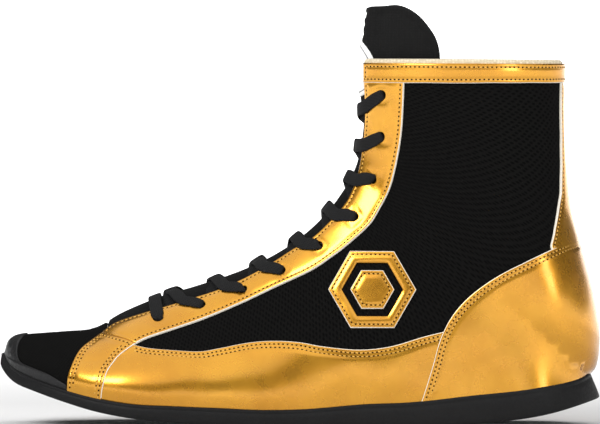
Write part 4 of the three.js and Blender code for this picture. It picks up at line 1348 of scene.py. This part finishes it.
def sockliner():
    """Footbed, cupped a little across."""
    s = np.linspace(1.4, 14.75, 90)
    rows = []
    for side in (-1, 1):
        for rise, inset in ((0, 0), (SOCKLINER_THICKNESS * 0.6, 0.1), (SOCKLINER_THICKNESS, -0.8)):
            x, half, z = sole_point(s, 0, SOCKLINER_RISE + rise, -SOCKLINER_INSET + inset)
            rows.append(np.stack([x, spine(x) + side * half, z], axis=1))
    left, right = rows[:3], rows[3:]
    top = []
    for k in range(1, 12):
        t = k / 12
        cup = -0.5 * np.sin(np.pi * t) ** 0.6
        top.append(mix(left[2], right[2], t) + np.array([0, 0, 1.0]) * cup)
    points, faces = with_ends(left + top + right[::-1], turned=True)
    piece = new_piece("sockliner_cloth", points, faces, [FOOTBED])
    finish(piece, "boot", "footbed", "sockliner")


# ---------------------------------------------------------------- tongue


def tongue_height(s, a):
    """How far the tongue's face stands above the last: tucked under the facings, bulging between them."""
    girth = np.where(a <= 1, a, 2 - a)
    bulge = TONGUE_BULGE + THROAT_BULGE * smooth(s, 4.9, 5.6) * (1 - smooth(s, 7.0, 10.5))
    bulge = bulge + LABEL_BULGE * smooth(s, 18.3, 21.0) - 1.4 * smooth(s, 21.8, 23.6)
    return TONGUE_TUCKED + bulge * smooth(girth, 0.84, 0.97)


def tongue_folds(s, a):
    """Creases across the front of the tongue near its top, where it bends."""
    x, y, z = last(s, a).T
    front = 1 - smooth(x, 30, 44)
    folds = sum(0.8 * np.exp(-(((z - at - 0.12 * (x - 28)) / 1.1) ** 2)) for at in (188.5, 193.0, 197.2))
    return -front * folds


def tongue():
    """Padded piece with a bound edge, thickest along its middle."""
    side = drawn(TONGUE_SIDE)
    dome = drawn(TONGUE_DOME)
    side_back, dome_back = side.mirrored(), dome.mirrored()
    base = Edge(np.full(25, side.s[0]), np.linspace(side_back.a[-1], side.a[0], 25))
    rings = [0.9, 1.9, 2.6, 3.4, 4.6, 6.5]
    sheet = Sheet(closed([side, dome, dome_back, side_back, base]), rings, grid=2.3)
    swell = np.sqrt(np.clip(1 - (1 - np.clip(sheet.depth / 6.5, 0, 1)) ** 2, 0, 1))
    thick = 1.4 + (TONGUE_DEPTH - 1.4) * swell
    thick = thick * mix(0.55, 1.0, smooth(sheet.s, 5, 9))
    bound = -0.6 * np.exp(-(((sheet.depth - 3.4) / 0.6) ** 2))
    face = tongue_height(sheet.s, sheet.a) + tongue_folds(sheet.s, sheet.a) + bound
    face = face - (TONGUE_DEPTH - thick) * 0.35
    outer = offset(sheet.s, sheet.a, face)
    inner = offset(sheet.s, sheet.a, face - thick)
    n = len(sheet.s)
    loop = sheet.loops[0]
    rim = offset(loop.s, loop.a, tongue_height(loop.s, loop.a) - TONGUE_DEPTH * 0.35 - 0.7)
    band = sheet.bands[0]
    m = len(band)
    faces = [tuple(f) for f in sheet.faces] + [tuple(f[::-1] + n) for f in sheet.faces]
    rim_at = np.arange(2 * n, 2 * n + m)
    points = np.concatenate([outer, inner, rim])
    flip = rim_turns(points, rim_at, band, loop)
    faces += rim_faces(rim_at, band, flip) + rim_faces(band + n, rim_at, flip)
    indices = [0] * len(sheet.faces) + [1] * len(sheet.faces) + [0] * (2 * m)
    piece = new_piece("tongue_padding", points, faces, [TONGUE_KNIT, LINING], indices)
    finish(piece, "tongue", "black_mesh", "tongue_face", "tongue_foam", "tongue_lining")


def label():
    """Plain round patch with a woven ring, sewn on near the top of the tongue."""
    s0 = float(np.interp(LABEL_HEIGHT, RUNGS[20:, 3], np.arange(20, len(RUNGS))))
    disc = circle(s0, 1.0, LABEL_RADIUS, 48)
    rings = [0.4, 1.0, 1.8, 2.3, 4.0]
    patch = Sheet([disc], rings, grid=2.0)
    base = tongue_height(patch.s, patch.a)
    height = base + LABEL_TOP - 0.25 * np.exp(-(((patch.depth - 1.0) / 0.35) ** 2))
    n = len(patch.s)
    loop = patch.loops[0]
    rim = offset(loop.s, loop.a, tongue_height(loop.s, loop.a) - 0.3)
    points = np.concatenate([offset(patch.s, patch.a, height), rim])
    faces = [tuple(f) for f in patch.faces]
    depth = patch.depth[patch.faces].mean(axis=1)
    indices = [1 if 1.7 < d < 2.4 else 0 for d in depth]
    rim_at = np.arange(n, n + len(rim))
    flip = rim_turns(points, rim_at, patch.bands[0], loop)
    faces += rim_faces(rim_at, patch.bands[0], flip)
    indices += [0] * len(rim)
    piece = new_piece("tongue_patch", points, faces, [LABEL, LABEL_RING], indices)
    finish(piece, "tongue", "label_fabric", "tongue_label")


# ---------------------------------------------------------------- lace


def facing_girth(s):
    """a at the free edge of the facings."""
    edge_s, edge_a = locate(FACING_EDGE)
    return float(np.interp(s, edge_s, edge_a))


def lace_route():
    """Points, normals and flatness along the lace: 1 where it is a ribbon, 0 where it bunches in a hole."""
    hole_s, hole_a = locate(LACE_HOLES)
    holes = list(zip(hole_s, hole_a))
    tail = list(zip(*locate(LACE_TAIL)))

    def put(route, s, girth, side, height, ribbon):
        a = girth if side < 0 else 2 - girth
        route.append((offset([s], [a], height)[0], normals([s], [a])[0], ribbon))

    def through(route, hole, side):
        """In at the face of a hole and out behind it."""
        for height in (LACE_OVER - 0.5, 0.6, -1.4, -3.6, LACE_UNDER):
            put(route, hole[0], hole[1], side, height, 0)

    def cross(route, start, end, side, high):
        """Under the facing from one hole, over the tongue, and on top of the other facing to the next."""
        def along(f):
            return mix(start[0], end[0], f)

        def edge(f, share):
            return mix(facing_girth(along(f)), 1, share)

        ridge = [tongue_height(along(f), 1.0) for f in (0.38, 0.49)]
        lift = 0.9 if high else 0
        put(route, along(0.12), mix(start[1], edge(0.12, 0), 0.5), side, LACE_UNDER, 1)
        put(route, along(0.21), edge(0.21, 0.1), side, LACE_UNDER, 1)
        climb = along(0.29), edge(0.29, 0.55)
        put(route, *climb, side, tongue_height(*climb) + 0.8, 1)
        put(route, along(0.38), 1, side, ridge[0] + 0.7 + lift, 1)
        fall = max(ridge[1] + 0.8, -0.4) + 0.8 * lift
        put(route, along(0.49), edge(0.49, 0.55), -side, fall, 1)
        put(route, along(0.62), edge(0.62, 0), -side, LACE_OVER, 1)
        put(route, along(0.84), mix(end[1], edge(0.84, 0), 0.4), -side, LACE_OVER, 1)

    def half(side):
        """From the middle of the lowest bar up to a tail inside the shaft."""
        route = []
        first = holes[0]
        rim = facing_girth(first[0])
        put(route, first[0], 1, side, tongue_height(first[0], 1.0) + 1, 1)
        put(route, first[0], mix(rim, 1, 0.5), side, 2.1, 1)
        put(route, first[0], mix(rim, first[1], 0.4), side, LACE_OVER, 1)
        through(route, first, side)
        high = side < 0
        for start, end in zip(holes, holes[1:]):
            cross(route, start, end, side, high)
            side = -side
            through(route, end, side)
        for i, (s, girth) in enumerate(tail):
            put(route, s, girth, side, LACE_UNDER - 0.6 * min(i, 2), 0.5)
        return route

    lateral, medial = half(-1), half(1)
    return lateral[::-1] + medial[1:]


def lace():
    """Flat braid along the route, rounder where it bunches in a hole."""
    route = lace_route()
    p = np.array([r[0] for r in route])
    n = np.array([r[1] for r in route])
    ribbon = np.array([r[2] for r in route], float)
    table = np.concatenate([p, n, ribbon[:, None]], axis=1)
    fine = interpolate(table, np.linspace(0, len(table) - 1, 6 * len(table)))
    reach = run_lengths(fine[:, :3])
    at = np.linspace(0, reach[-1], int(reach[-1] / 1.1))
    fine = np.stack([np.interp(at, reach, fine[:, k]) for k in range(7)], axis=1)
    p, n, ribbon = fine[:, :3], unit(fine[:, 3:6]), np.clip(fine[:, 6], 0, 1)
    tangent = unit(np.gradient(p, axis=0))
    across = np.cross(tangent, n)
    weight = np.linalg.norm(across, axis=1)
    good = weight > 0.75
    across = unit(across)
    # Keep the ribbon from turning over, and carry its direction through each hole.
    for i in range(1, len(across)):
        if not good[i]:
            across[i] = across[i - 1] - tangent[i] * np.dot(across[i - 1], tangent[i])
            across[i] /= max(np.linalg.norm(across[i]), 1e-9)
        elif np.dot(across[i], across[i - 1]) < 0:
            across[i] = -across[i]
    for _ in range(4):
        across[1:-1] = (across[:-2] + across[1:-1] * 2 + across[2:]) / 4
        across = unit(across - tangent * np.sum(across * tangent, axis=1, keepdims=True))
    up = np.cross(across, tangent)
    width = mix(LACE_BUNCH, LACE_WIDTH, smooth(ribbon, 0, 1)) / 2
    thick = mix(LACE_THICKNESS * 1.6, LACE_THICKNESS, smooth(ribbon, 0, 1)) / 2
    section = 14
    rings = []
    for k in range(section):
        angle = 2 * np.pi * k / section
        cx = np.sign(np.cos(angle)) * abs(np.cos(angle)) ** 0.55
        cy = np.sign(np.sin(angle)) * abs(np.sin(angle)) ** 0.8
        rings.append(p + across * (cx * width)[:, None] + up * (cy * thick)[:, None])
    points = np.stack(rings, axis=1).reshape(-1, 3)
    faces = []
    for i in range(len(p) - 1):
        for k in range(section):
            here, after = i * section + k, i * section + (k + 1) % section
            faces.append((here, after, after + section, here + section))
    faces.append(list(range(section))[::-1])
    faces.append(list(range((len(p) - 1) * section, len(p) * section)))
    piece = new_piece("lace_ribbon", points, faces, [LACE])
    finish(piece, "boot", "lace_fabric", "lace")


def carried_over():
    """CAD nodes that keep their own shape get their finish here."""
    finishes = {"lasting_board": BOARD, "aglet_lateral": AGLET, "aglet_medial": AGLET}
    for name, finish_material in finishes.items():
        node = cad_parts[name]
        node.data.materials.clear()
        node.data.materials.append(finish_material)


studio()
upper()
outsole()
sockliner()
tongue()
label()
lace()
carried_over()
